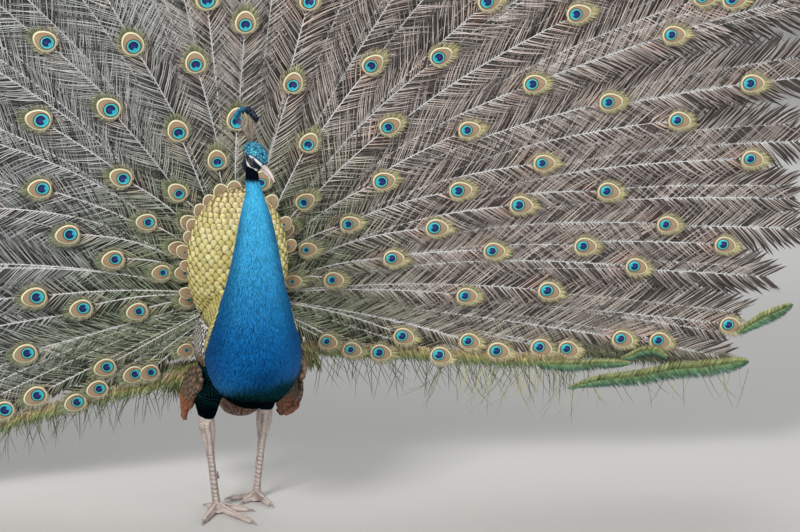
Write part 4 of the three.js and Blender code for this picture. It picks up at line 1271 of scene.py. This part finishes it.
for row in range(1, 11):
    ring = 350 + 88 * row - 1.3 * row * row
    step = 1.0 if row < 7 else 0.5
    for j in np.arange((row % 2) * step / 2, 3.8, step):
        for side in (-1, 1) if j else (1,):
            swing = 27 * j - 1.17 * j * j if side == -1 else 21.5 * j + 0.2 * j * j
            angle = 90 + side * swing + train_rng.uniform(-1.2, 1.2)
            away = ring + train_rng.uniform(-12, 12)
            if np.interp(angle, *ROWS_FROM) < away < reach_at(rad(angle)) - 60 and 6 < angle < 188:
                feathers.append((rad(angle), away))
for i in range(4):
    feathers.append((rad(185 + 4.5 * (i % 2)), 520.0 + 62 * i))
feathers = np.array(feathers)
forked = np.radians(np.concatenate([np.linspace(0.5, 40, 17), np.linspace(44, 190, 29)]))
forked += train_rng.uniform(-0.02, 0.02, len(forked))
beyond = np.where(forked < rad(42), train_rng.uniform(-90, 30, len(forked)),
                  train_rng.uniform(-75, -40, len(forked)))
forked = np.stack([forked, reach_at(forked) + beyond], -1)
everyone = np.vstack([feathers, forked])
has_eye = np.arange(len(everyone)) < len(feathers)


def proud_at(reach):
    """How far in front of the dish a feather lies: the shorter ones lie in front of the longer."""
    return 11 - 15 * reach / FAN_REACH


def region_tone(x, y):
    """The barbs' tone over the fan: pinkish above, greyer on the right, greener near the root and below."""
    green = 0.75 * smooth(420, 120, np.hypot(x, y)) + 0.55 * smooth(150, -20, y) * smooth(1000, 200, np.abs(x))
    tone = mix((0.300, 0.262, 0.240), (0.255, 0.264, 0.258), smooth(150, -300, x))
    return mix(tone, (0.155, 0.195, 0.115), np.clip(green, 0, 0.8))


# Each feather leaves the root steeply and bends over outwards on its way to its tip.
FEATHERS_FROM = 62.0
LIFT_X, LIFT_Y = -2.0, 5.5
angle, away = everyone[:, 0], everyone[:, 1]
tip_x, tip_y = in_plane(angle, away)
chord, chord_long = np.arctan2(tip_y + LIFT_Y, tip_x), np.hypot(tip_x, tip_y + LIFT_Y)
chord = np.where(chord < rad(-90), chord + 2 * math.pi, chord)
from_side = np.minimum(chord, math.pi - chord)
bows = (0.07 * smooth(rad(-8), rad(25), from_side) + 0.013) * np.cos(chord) * chord_long
bows += train_rng.uniform(-7, 7, len(everyone))
base_proud = proud_at(away) + train_rng.uniform(-1.2, 1.2, len(everyone))
shaft_long = chord_long - 16 * has_eye


def on_feather(index, reach):
    """A point of a feather's shaft: its distance across and up from the feather's tip, and its heading there."""
    share = (reach - FEATHERS_FROM) / (chord_long[index] - FEATHERS_FROM)
    bow = bows[index] * np.sin(share * math.pi)
    c, s = np.cos(chord[index]), np.sin(chord[index])
    steep = bows[index] * math.pi * np.cos(share * math.pi) / (chord_long[index] - FEATHERS_FROM)
    return (reach * c - bow * s - tip_x[index] + LIFT_X * (tip_x[index] > 0), reach * s + bow * c - tip_y[index],
            chord[index] + np.arctan(steep))


shafts = Plumage()
v = np.linspace(0, 1, 14)
reach = FEATHERS_FROM + (shaft_long - FEATHERS_FROM)[:, None] * v
dx, dy, _ = on_feather(np.arange(len(everyone))[:, None], reach)
half = np.interp(reach, [60, 400, 1300], [1.5, 1.3, 1.0]) * np.where(v == 1, 0, 1)
add_on_fan(shafts, angle[:, None], away[:, None], dx, dy, base_proud[:, None] + 1.2 + 0 * reach, half,
           half * 0.9, varied(np.tile((0.82, 0.80, 0.78), (len(everyone), 1)), 0.12, 101), None, reach / 100)
shaft_paint = feather_paint("shafts", barbs=14, rim=(50, 60), rough=0.35, streak=1.2, mottle=0.15)


def comb(pile, angle, reach, dx, dy, heading, side, length, splay, bend, proud, wave, width, tint, k=4,
         heavy=(1, 0.95, 0.7), lift=0.4, gaps=None):
    """Loose barbs that leave the feather at a root on the dish, to its left or right, and curve along it."""
    v = np.linspace(0, 1, k)
    turn = heading[:, None] + side[:, None] * (splay[:, None] - bend[:, None] * v)
    step = length[:, None] * np.diff(v)
    middle = (turn[:, 1:] + turn[:, :-1]) / 2
    zero = np.zeros((len(length), 1))
    dx = np.reshape(dx, (-1, 1)) + np.hstack([zero, np.cumsum(np.cos(middle) * step, 1)])
    dy = np.reshape(dy, (-1, 1)) + np.hstack([zero, np.cumsum(np.sin(middle) * step, 1)])
    half = width[:, None] / 2 * np.append(np.interp(v[:-1], [0, 0.5, 1], heavy), 0)
    add_on_fan(pile, np.reshape(angle, (-1, 1)), np.reshape(reach, (-1, 1)), dx, dy,
               proud[:, None] + wave[:, None] * v ** 1.3, half, half * 2 * lift, tint, gaps, v)


def along_feathers(gap, seed):
    """Roots of barbs on both sides of every feather, gap apart along it."""
    local = np.random.default_rng(seed)
    rows = []
    for index, long in enumerate(shaft_long):
        first = 80 if long < 420 else 100 + 0.10 * (long - 420)
        count = int((long - first) / gap)
        for side in (-1, 1):
            r = first + (np.arange(count) + local.uniform(0.2, 0.8, count)) * (long - first) / count
            rows.append(np.stack([r, np.full(count, side), np.full(count, index)], -1))
    rows = np.concatenate(rows)
    return rows[:, 0], rows[:, 1], rows[:, 2].astype(int), local


SECTOR_ENDS = np.radians([-60, 14, 30, 50, 76, 104, 132, 158, 400])
combs = [Plumage() for _ in SECTOR_ENDS[1:]]
for layer in ("locks", "barbs"):
    locks = layer == "locks"
    r, side, index, local = along_feathers(10.5 if locks else 6.0, 103 if locks else 104)
    n, a, left_over = len(r), angle[index], shaft_long[index] - r
    dx, dy, heading = on_feather(index, r)
    length = np.interp(left_over, [0, 40, 140, 400], [52, 66, 88, 82]) * local.uniform(0.85, 1.1, n)
    length *= np.interp(r, [80, 250, 420], [0.55, 0.85, 1]) * (1.0 if locks else 0.92)
    splay = np.radians(np.interp(left_over, [0, 60, 200], [38, 43, 46]) + local.uniform(-4, 4, n))
    bend = np.radians(4 - 15 * np.sin(r / 97.0 + 1.7 * index) + local.uniform(-4, 4, n))
    outer = ((a < rad(8)) & (side < 0)) | ((a > rad(178)) & (side > 0))
    length = np.where(outer, length * 0.6, length)
    tone = region_tone(away[index] * np.cos(a) + dx, away[index] * np.sin(a) + dy)
    near_eye = smooth(70, 0, left_over) * has_eye[index]
    tone = mix(tone, tone * np.array([1.25, 0.98, 0.88]), near_eye)
    kind = local.uniform(0, 1, n)
    # Painted light: the locks are dark, as the shade in the gaps between the barbs; the barbs are dark, mid or
    # bright at random, partly their own tone and partly painted shade and highlights.
    if locks:
        light = local.uniform(0.25, 0.38, n)
    else:
        light = np.where(kind < 0.26, 0.38, np.where(kind < 0.74, 1.6, 2.5)) * local.uniform(0.9, 1.1, n)
    tone = np.clip(tone * light[:, None], 0, 0.9)
    if locks:
        grade, foot, shape = tone[:, None] * np.ones((1, 3, 1)), tone, (3, (0.75, 1, 1), 0.06)
    else:  # the barbs are white where they leave the shaft, so that it looks like a twisted rope
        grade = np.minimum(tone[:, None] * np.array([1.0, 1.0, 0.9, 0.8])[None, :, None], 0.93)
        white = (smooth(70, 230, r) * (kind > 0.26))[:, None]
        foot = tone * (1 - white) + np.array((0.88, 0.87, 0.86)) * white
        shape = (4, (1.5, 1.0, 0.75), 0.4)
    wave = local.uniform(-4.0, 0.0, n) if locks else local.uniform(-1.5, 4.0, n)
    width = np.full(n, 9.0) if locks else np.full(n, 1.7)
    for number, pile in enumerate(combs):
        here = (a >= SECTOR_ENDS[number]) & (a < SECTOR_ENDS[number + 1])
        comb(pile, a[here], away[index][here], dx[here], dy[here], heading[here], side[here], length[here],
             splay[here], bend[here], base_proud[index][here] + (-1.5 if locks else 0.6), wave[here],
             width[here], grade[here], *shape, foot[here])


# ---------- Eyes of the train ----------
# At the end of each feather the barbs lock into a flat disc: a heart of violet and turquoise in bronze, with
# a pale gold line around it and a loose fringe beyond.
SPOT_LONG, SPOT_WIDE, EGG, EYE_CELL = 22.8, 19.6, 0.14, 60.0
rim_angle = np.radians([192, 181, 170, 158, 148, 134, 122, 108, 94, 52, 30, 12])
rim_out = 1 + train_rng.uniform(-0.05, 0.03, len(rim_angle))
rim_x, rim_y = -6 + 100 * np.cos(rim_angle) * rim_out, 74 + 154 * np.sin(rim_angle) * rim_out  # round the mantle
spot_x = np.concatenate([feathers[:, 1] * np.cos(feathers[:, 0]), rim_x])
spot_y = np.concatenate([feathers[:, 1] * np.sin(feathers[:, 0]), rim_y])
spot_away = np.hypot(spot_x, spot_y)
on_rim = np.arange(len(spot_x)) >= len(feathers)
spot_size = np.interp(spot_away, [110, 210, 330, 600], [0.74, 0.88, 0.97, 1.0]) * np.where(on_rim, 0.86, 1)
spot_size *= np.interp(spot_x, [-300, 0, 300], [1.09, 1.04, 0.97]) * train_rng.uniform(0.95, 1.05, len(spot_x))
disc_size = np.interp(spot_away, [110, 180, 330], [0.42, 0.82, 1.0]) * np.where(on_rim, 0.42, 1)
disc_size *= np.interp(spot_x, [-300, 0, 200, 600], [0.93, 0.92, 0.92, 0.88]) * train_rng.uniform(
    .94, 1.06, len(spot_x))
spot_heading = np.arctan2(spot_y, spot_x)
spot_heading = np.where(spot_heading < rad(-90), spot_heading + 2 * math.pi, spot_heading)
spot_root = spot_heading.copy()
# The tips of the feathers droop outwards, so that the eyes lie flatter than their shafts.
droop = np.interp(np.degrees(spot_heading), [-10, 20, 45, 75, 105, 135, 160, 190],
                  [-20, -30, -30, 0, 0, 30, 28, 15])
spot_heading += np.where(on_rim, 0, np.radians(droop) + train_rng.uniform(-0.12, 0.12, len(spot_x)))
stretch = np.interp(spot_x, [-600, -100, 120, 400, 900], [0.08, 0.0, 0.04, 0.14, 0.16]) * ~on_rim
spot_proud = proud_at(spot_away) + 5.5 + np.where(on_rim, 16, 0)
nudge_x, nudge_y = LIFT_X * (spot_x > 0) * ~on_rim, LIFT_Y * ~on_rim

around, circles = 28, 4
ring_share = np.array([0.28, 0.55, 0.80, 1.0])
phi = np.linspace(0, 2 * math.pi, around, endpoint=False)
egg_y = np.cos(phi)
egg_x = np.sin(phi) * (1 - EGG * egg_y)
local = [np.zeros((1, 2))] + [np.stack([egg_x * SPOT_WIDE * s, egg_y * SPOT_LONG * s], -1) for s in ring_share]
local = np.concatenate(local + [np.zeros((1, 2))])
dome = np.concatenate([[0.9], np.repeat([0.75, 0.45, 0.1, -0.5], around), [-0.9]])
per = len(local)
faces = []
for i in range(around):
    n1 = (i + 1) % around
    faces.append((0, 1 + n1, 1 + i))
    for ring in range(circles - 1):
        a, b = 1 + ring * around, 1 + (ring + 1) * around
        faces.append((a + i, a + n1, b + n1, b + i))
    last = 1 + (circles - 1) * around
    faces.append((last + i, last + n1, per - 1))
cells = 13
train_rng.uniform(0, 1, len(spot_x))  # one number for each eye is drawn and left over
spots_at, eye_uv, cell_uv, spot_tint, spot_faces = [], [], [], [], []
for index in range(len(spot_x)):
    c, s = math.cos(spot_heading[index]), math.sin(spot_heading[index])
    longer = 1 + stretch[index] * np.maximum(local[:, 1], 0) / SPOT_LONG
    across, along = local[:, 0] * spot_size[index], local[:, 1] * longer * spot_size[index]
    spots_at.append(spread_on_fan(
        spot_root[index], spot_away[index], along * c + across * s + nudge_x[index],
        along * s - across * c + nudge_y[index], spot_proud[index] + dome))
    share = local / EYE_CELL + 0.5
    eye_uv.append(share)
    cell_uv.append((share + [index % cells, index // cells]) / cells)
    spot_tint.append(np.tile((disc_size[index], 0, 0), (per, 1)))
    spot_faces += [tuple(v + index * per for v in face) for face in faces]
spots_mesh = bpy.data.meshes.new("train_eyes")
spots_mesh.from_pydata(np.concatenate(spots_at).tolist(), [], spot_faces)
corner = np.empty(len(spots_mesh.loops), np.int32)
spots_mesh.loops.foreach_get("vertex_index", corner)
for layer, values in (("OFBake", cell_uv), ("Eye", eye_uv)):
    uv = spots_mesh.uv_layers.new(name=layer)
    uv.data.foreach_set("uv", np.concatenate(values)[corner].astype(np.float32).ravel())
paint(spots_mesh, "spot", np.concatenate(spot_tint))

zones, zones_in, zones_out = node_group(
    "eyespot_zones", [("Disc", "NodeSocketFloat", 1.0)],
    [("Colour", "NodeSocketColor"), ("Lines", "NodeSocketFloat"), ("Shine", "NodeSocketFloat")])


def length_of(tree, x, y, scale_x, scale_y):
    """How far from the middle x and y lie, each scaled."""
    a = maths(tree, "POWER", maths(tree, "ABSOLUTE", maths(tree, "MULTIPLY", x, scale_x)), 2.0)
    b = maths(tree, "POWER", maths(tree, "ABSOLUTE", maths(tree, "MULTIPLY", y, scale_y)), 2.0)
    return maths(tree, "SQRT", maths(tree, "ADD", a, b))


def between(tree, value, low, high):
    """0 below low, 1 above high, with a soft step between."""
    node = tree.nodes.new("ShaderNodeMapRange")
    node.interpolation_type = "SMOOTHSTEP"
    tree.links.new(value, node.inputs["Value"])
    node.inputs["From Min"].default_value, node.inputs["From Max"].default_value = low, high
    return node.outputs["Result"]


def over(tree, below, above, share):
    """One colour laid over another by a share."""
    node = tree.nodes.new("ShaderNodeMix")
    node.data_type = "RGBA"
    tree.links.new(share, node.inputs["Factor"])
    for name, value in (("A", below), ("B", above)):
        if isinstance(value, tuple):
            node.inputs[name].default_value = (*value, 1)
        else:
            tree.links.new(value, node.inputs[name])
    return node.outputs["Result"]


eye_map = zones.nodes.new("ShaderNodeUVMap")
eye_map.uv_map = "Eye"
eye_parts = zones.nodes.new("ShaderNodeSeparateXYZ")
zones.links.new(eye_map.outputs["UV"], eye_parts.inputs["Vector"])
ex = maths(zones, "MULTIPLY", maths(zones, "SUBTRACT", eye_parts.outputs["X"], 0.5), EYE_CELL)
ey = maths(zones, "MULTIPLY", maths(zones, "SUBTRACT", eye_parts.outputs["Y"], 0.5), EYE_CELL)
waist = maths(zones, "SUBTRACT", 1.0, maths(zones, "MULTIPLY", ey, EGG / SPOT_LONG))
egg = length_of(zones, maths(zones, "DIVIDE", ex, waist), ey, 1 / SPOT_WIDE, 1 / SPOT_LONG)
disc_y = maths(zones, "ADD", ey, 5.0)
disc = maths(zones, "DIVIDE", length_of(zones, ex, disc_y, 1 / 11.5, 1 / 11.8), zones_in.outputs["Disc"])
pupil_y = maths(zones, "ADD", ey, 3.6)
pupil = maths(zones, "DIVIDE", length_of(zones, ex, pupil_y, 1 / 8.9, 1 / 8.2), zones_in.outputs["Disc"])
notch = maths(zones, "DIVIDE", length_of(zones, ex, maths(zones, "ADD", ey, 11.6), 1 / 3.4, 1 / 4.0),
              zones_in.outputs["Disc"])
bronze = over(zones, (0.40, 0.26, 0.150), (0.48, 0.335, 0.205), between(zones, ey, -6, 18))
bronze = over(zones, bronze, (0.30, 0.185, 0.10), between(zones, egg, 0.71, 0.78))
colour = over(zones, bronze, (1.0, 0.92, 0.62), between(zones, egg, 0.79, 0.825))
colour = over(zones, colour, (0.44, 0.45, 0.19), between(zones, egg, 0.925, 0.965))
dark_ring = maths(zones, "SUBTRACT", 1.0, between(zones, disc, 1.10, 1.24))
colour = over(zones, colour, (0.030, 0.050, 0.032), dark_ring)
blue_ring = maths(zones, "SUBTRACT", 1.0, between(zones, disc, 0.98, 1.05))
turquoise = over(zones, (0.030, 0.58, 0.78), (0.13, 0.78, 0.76), between(zones, disc, 0.7, 1.0))
colour = over(zones, colour, turquoise, blue_ring)
navy = maths(zones, "MULTIPLY", maths(zones, "SUBTRACT", 1.0, between(zones, pupil, 0.93, 1.04)),
             between(zones, notch, 0.85, 1.15))
violet = over(zones, (0.022, 0.042, 0.24), (0.004, 0.014, 0.085), between(zones, pupil, 0.15, 0.85))
colour = over(zones, colour, violet, navy)
veins = maths(zones, "SUBTRACT", ey, maths(zones, "MULTIPLY", maths(zones, "ABSOLUTE", ex), 0.9))
vein_wave = maths(zones, "SINE", maths(zones, "MULTIPLY", veins, 2 * math.pi / 1.5))
zones.links.new(colour, zones_out.inputs["Colour"])
zones.links.new(maths(zones, "ADD", maths(zones, "MULTIPLY", vein_wave, 0.5), 0.5), zones_out.inputs["Lines"])
zones.links.new(blue_ring, zones_out.inputs["Shine"])

spot_paint, tree, shader = new_paint("train_eyes")
spot_zones = tree.nodes.new("ShaderNodeGroup")
spot_zones.node_tree = zones
spot_vary = tree.nodes.new("ShaderNodeVertexColor")
spot_vary.layer_name = "spot"
spot_split = tree.nodes.new("ShaderNodeSeparateColor")
tree.links.new(spot_vary.outputs["Color"], spot_split.inputs["Color"])
tree.links.new(spot_split.outputs["Red"], spot_zones.inputs["Disc"])
shade = tree.nodes.new("ShaderNodeVectorMath")
shade.operation = "SCALE"
tree.links.new(spot_zones.outputs["Colour"], shade.inputs[0])
tree.links.new(maths(tree, "ADD", maths(tree, "MULTIPLY", spot_zones.outputs["Lines"], -0.16), 1.04),
               shade.inputs["Scale"])
tree.links.new(shade.outputs["Vector"], shader.inputs["Base Color"])
shader.inputs["Roughness"].default_value = 0.45
tree.links.new(maths(tree, "MULTIPLY", spot_zones.outputs["Shine"], 0.35), shader.inputs["Metallic"])
relief = tree.nodes.new("ShaderNodeBump")
relief.inputs["Distance"].default_value = 0.0003
tree.links.new(spot_zones.outputs["Lines"], relief.inputs["Height"])
tree.links.new(relief.outputs["Normal"], shader.inputs["Normal"])
spots = add_piece("train_eyes", spots_mesh, [spot_paint])

# The loose fringe around each eye, longest beyond it.
fringe = Plumage()
for index in np.flatnonzero(~on_rim):
    count = 72
    phi = np.linspace(-math.pi, math.pi, count, endpoint=False) + train_rng.uniform(-0.04, 0.04, count)
    c, s = math.cos(spot_heading[index]), math.sin(spot_heading[index])
    across = np.sin(phi) * (1 - EGG * np.cos(phi)) * SPOT_WIDE * 0.93 * spot_size[index]
    along = np.cos(phi) * (1 + stretch[index] * np.maximum(np.cos(phi), 0)) * SPOT_LONG * 0.93 * spot_size[index]
    dx, dy = along * c + across * s + nudge_x[index], along * s - across * c + nudge_y[index]
    outward = np.abs(phi) / math.pi
    reach_out = np.interp(outward, [0, 0.35, 0.7, 1], [20, 14, 10, 7]) * train_rng.uniform(0.7, 1.3, count)
    splay = np.abs(phi) * 0.62
    gold_share = np.interp(outward, [0, 0.4, 1], [1, 0.5, 0.1])
    green = mix((0.30, 0.36, 0.20), (0.66, 0.60, 0.30), smooth(-200, 400, spot_x[index]))
    tone = mix((0.46, 0.40, 0.30), green, gold_share * 0.9) * train_rng.uniform(0.6, 1.3, count)[:, None]
    tone = tone[:, None] * np.array([1.1, 1.0, 0.6])[None, :, None]
    comb(fringe, np.full(count, spot_root[index]), np.full(count, spot_away[index]), dx, dy,
         np.full(count, spot_heading[index]), -np.sign(phi + 1e-6), reach_out, splay,
         np.radians(train_rng.uniform(0, 16, count)), np.full(count, spot_proud[index] - 0.9),
         train_rng.uniform(-1, 1.5, count), np.full(count, 1.9), tone, k=3, heavy=(1, 0.8, 0.6))


# ---------- Lower edges of the train ----------
# Below the last row of eyes the barbs hang as a golden-green border with long loose wisps, and four sickle
# feathers, one of them much the longest, close the right-hand edge.
border = Plumage()
EDGE_ROOT = 500.0  # the distance along the train's side from which the places of its edge are measured


def hem(x_from, x_to, level, count, drop, lean, tones, width, seed, proud=6.0, curl=14):
    """A row of barbs that hang from a level along the lower edge, from beside the body outwards."""
    local = np.random.default_rng(seed)
    x = np.linspace(x_from, x_to, count) + local.uniform(-2, 2, count)
    y = level(x) + local.uniform(-3, 3, count)
    way = np.sign(x_to - x_from)
    heading = np.full(count, rad(-90)) + way * np.radians(local.uniform(lean[0], lean[1], count))
    length = local.uniform(drop[0], drop[1], count)
    local.uniform(0, 1, count)  # these numbers are drawn and left over
    root_tone, tip_tone = (np.asarray(tone, float) for tone in tones)
    shade = local.uniform(0.45, 1.5, count)[:, None, None]
    tint = (root_tone + (tip_tone - root_tone) * np.linspace(0, 1, 4)[None, :, None]) * shade
    root = np.full(count, FAN_FROM if x_to > 0 else FAN_TO)
    base = np.full(count, EDGE_ROOT)
    comb(border, root, base, x - base * np.cos(root), y - base * np.sin(root), heading, np.ones(count), length,
         np.zeros(count), np.radians(local.uniform(-curl, curl, count)), proud + local.uniform(-3, 3, count),
         local.uniform(-3, 3, count), np.full(count, width), tint)


GOLD_HEM, GREEN_HEM, WISP = (0.56, 0.50, 0.22), (0.17, 0.32, 0.13), (0.46, 0.46, 0.25)
under_right = lambda x: np.interp(x, [130, 217, 315, 415, 514, 604, 727], [36, 25, 19, 9, -2, -4, -10])
under_left = lambda x: 0.16 * x + 8 - 0.00012 * x * x
hem(105, 640, lambda x: under_right(x) + 6, 1300, (20, 28), (8, 34), (GOLD_HEM, GREEN_HEM), 1.7, 111)
hem(105, 640, lambda x: under_right(x) + 16, 700, (18, 28), (8, 40), ((0.56, 0.44, 0.27), GOLD_HEM), 1.7, 119,
    7.5)
hem(150, 660, lambda x: under_right(x) - 14, 130, (30, 100), (-24, 44), ((0.13, 0.17, 0.07), (0.15, 0.15, 0.08)),
    1.2, 112, 3.0)
hem(400, 700, lambda x: under_right(x) - 10, 46, (60, 140), (-40, 20), (WISP, WISP), 1.6, 113, 3.0, 55)
hem(700, 1010, lambda x: 0 * x - 28, 20, (50, 110), (-10, 30), (WISP, WISP), 1.6, 120, 3.0, 50)
hem(585, 960, lambda x: np.interp(x, [590, 740, 860, 960], [38, 30, 20, 8]), 800, (28, 46), (10, 66),
    ((0.25, 0.22, 0.18), (0.19, 0.23, 0.12)), 1.8, 131, -1.5)
hem(640, 870, lambda x: np.interp(x, [640, 740, 870], [16, 8, -4]), 340, (22, 36), (10, 60),
    ((0.22, 0.21, 0.14), (0.16, 0.24, 0.12)), 1.8, 133, -1.5)
hem(-74, -185, lambda x: 24 + 0.1 * x, 200, (22, 36), (0, 40), ((0.24, 0.24, 0.15), GREEN_HEM), 1.8, 132, -1.0)
hem(-95, -620, under_left, 800, (18, 36), (4, 40), (GOLD_HEM, GREEN_HEM), 1.9, 114)
hem(-95, -620, lambda x: under_left(x) + 12, 500, (18, 30), (8, 40), ((0.52, 0.42, 0.26), GOLD_HEM), 1.7, 121,
    7.5)
hem(-95, -620, lambda x: under_left(x) - 12, 170, (30, 90), (-20, 50), ((0.12, 0.15, 0.06), (0.13, 0.14, 0.07)),
    1.2, 115)
# Next to the body the border hangs longest.
hem(88, 150, lambda x: 68 - 0.3 * x, 90, (34, 50), (-4, 24), ((0.40, 0.36, 0.15), (0.10, 0.17, 0.05)), 2.2, 117)
hem(-70, -130, lambda x: 50 + 0.4 * x, 90, (44, 76), (-4, 24), ((0.22, 0.24, 0.07), (0.05, 0.10, 0.03)), 2.2,
    118)


def sickle(points, widths, count, seed):
    """A long narrow feather of short close barbs: gold along its upper side and green along the lower."""
    local = np.random.default_rng(seed)
    base = EDGE_ROOT
    for side, share, tones in ((1, 0.50, ((0.26, 0.36, 0.15), (0.54, 0.52, 0.23))),
                               (-1, 0.66, ((0.22, 0.35, 0.15), (0.06, 0.25, 0.19)))):
        t = (np.arange(count) + local.uniform(0, 1, count)) / count
        line = curve(points, t)
        ahead = curve(points, np.minimum(t + 0.01, 1)) - curve(points, np.maximum(t - 0.01, 0))
        heading = np.arctan2(ahead[:, 1], ahead[:, 0])
        wide = np.interp(t, np.linspace(0, 1, len(widths)), widths) * local.uniform(0.85, 1.1, count)
        shade = local.uniform(0.25, 1.5, count)[:, None, None]
        a, b = (np.asarray(tone, float) for tone in tones)
        tint = (a + (b - a) * np.linspace(0, 1, 3)[None, :, None]) * shade
        comb(border, np.full(count, FAN_FROM), np.full(count, base), line[:, 0] - base * np.cos(FAN_FROM),
             line[:, 1] - base * np.sin(FAN_FROM), heading, np.full(count, float(side)), wide * share,
             np.radians(local.uniform(54, 72, count)), np.radians(local.uniform(0, 14, count)),
             10 + local.uniform(-0.8, 0.8, count), local.uniform(-0.5, 0.5, count), np.full(count, 1.5), tint,
             k=3, heavy=(1, 0.9, 0.7))
    v = np.linspace(0, 1, 16)
    spine = curve(points, v)
    blade = np.interp(v, np.linspace(0, 1, len(widths)), widths) * 0.30
    blade[-1] = 0
    place = (np.full((1, 16), FAN_FROM), np.full((1, 16), base), spine[None, :, 0] - base * np.cos(FAN_FROM),
             spine[None, :, 1] - base * np.sin(FAN_FROM))
    for facing in (1, -1):
        add_on_fan(border, *place, np.full((1, 16), 8.4 - 0.6 * (facing < 0)), blade[None],
                   np.full((1, 16), 0.5), np.array([[0.10, 0.19, 0.09]]), None, v, facing)
    rib = np.append(np.linspace(1.3, 0.8, 15), 0)[None]
    add_on_fan(border, *place, np.full((1, 16), 9.6), rib * 0.7, rib, np.array([[0.40, 0.48, 0.20]]), None, v)


sickle([(650, -66), (690, -54), (728, -47), (795, -40), (860, -26), (926, -20), (975, -11), (1005, -5)],
       (5, 27, 36, 43, 45, 44, 33, 8), 760, 121)
sickle([(980, 56), (1000, 72), (1022, 88), (1046, 101), (1066, 113), (1078, 122)], (14, 28, 34, 31, 20, 6),
       320, 122)
sickle([(590, -10), (630, -13), (670, -13), (715, -11), (745, -10), (770, -11)], (23, 31, 31, 27, 21, 6),
       360, 123)
sickle([(752, 0), (768, 4), (784, 13), (803, 18), (824, 15), (842, 2)], (10, 21, 24, 24, 20, 8), 290, 124)

barb_paint, tree, shader = new_paint("train_barbs")  # the first few millimetres of a barb show its rim's tint
shader.inputs["Roughness"].default_value = 0.42
shader.inputs["Specular IOR Level"].default_value = 0.4
barb_uv = tree.nodes.new("ShaderNodeUVMap")
barb_uv.uv_map = "Blade"
barb_split = tree.nodes.new("ShaderNodeSeparateXYZ")
tree.links.new(barb_uv.outputs["UV"], barb_split.inputs["Vector"])
barb_tints = []
for layer in ("rim", "tint"):
    node = tree.nodes.new("ShaderNodeVertexColor")
    node.layer_name = layer
    barb_tints.append(node.outputs["Color"])
tree.links.new(over(tree, *barb_tints, between(tree, barb_split.outputs["Y"], 0.065, 0.105)),
               shader.inputs["Base Color"])
fringe_paint = feather_paint("loose_barbs", barbs=1, rim=(0.95, 1.0), rough=0.42, streak=0.0, mottle=0.2,
                             scale=60)
shafts.make("train_shafts", shaft_paint, "train_feathers")
for index, pile in enumerate(combs):
    pile.make(f"train_barbs_{index + 1}", barb_paint, "train_feathers",
              [f"train_{2 * index + 1:02d}", f"train_{2 * index + 2:02d}"])
fringe.make("train_eye_fringes", fringe_paint, "train_feathers")
border.make("train_border", fringe_paint, "train_feathers")
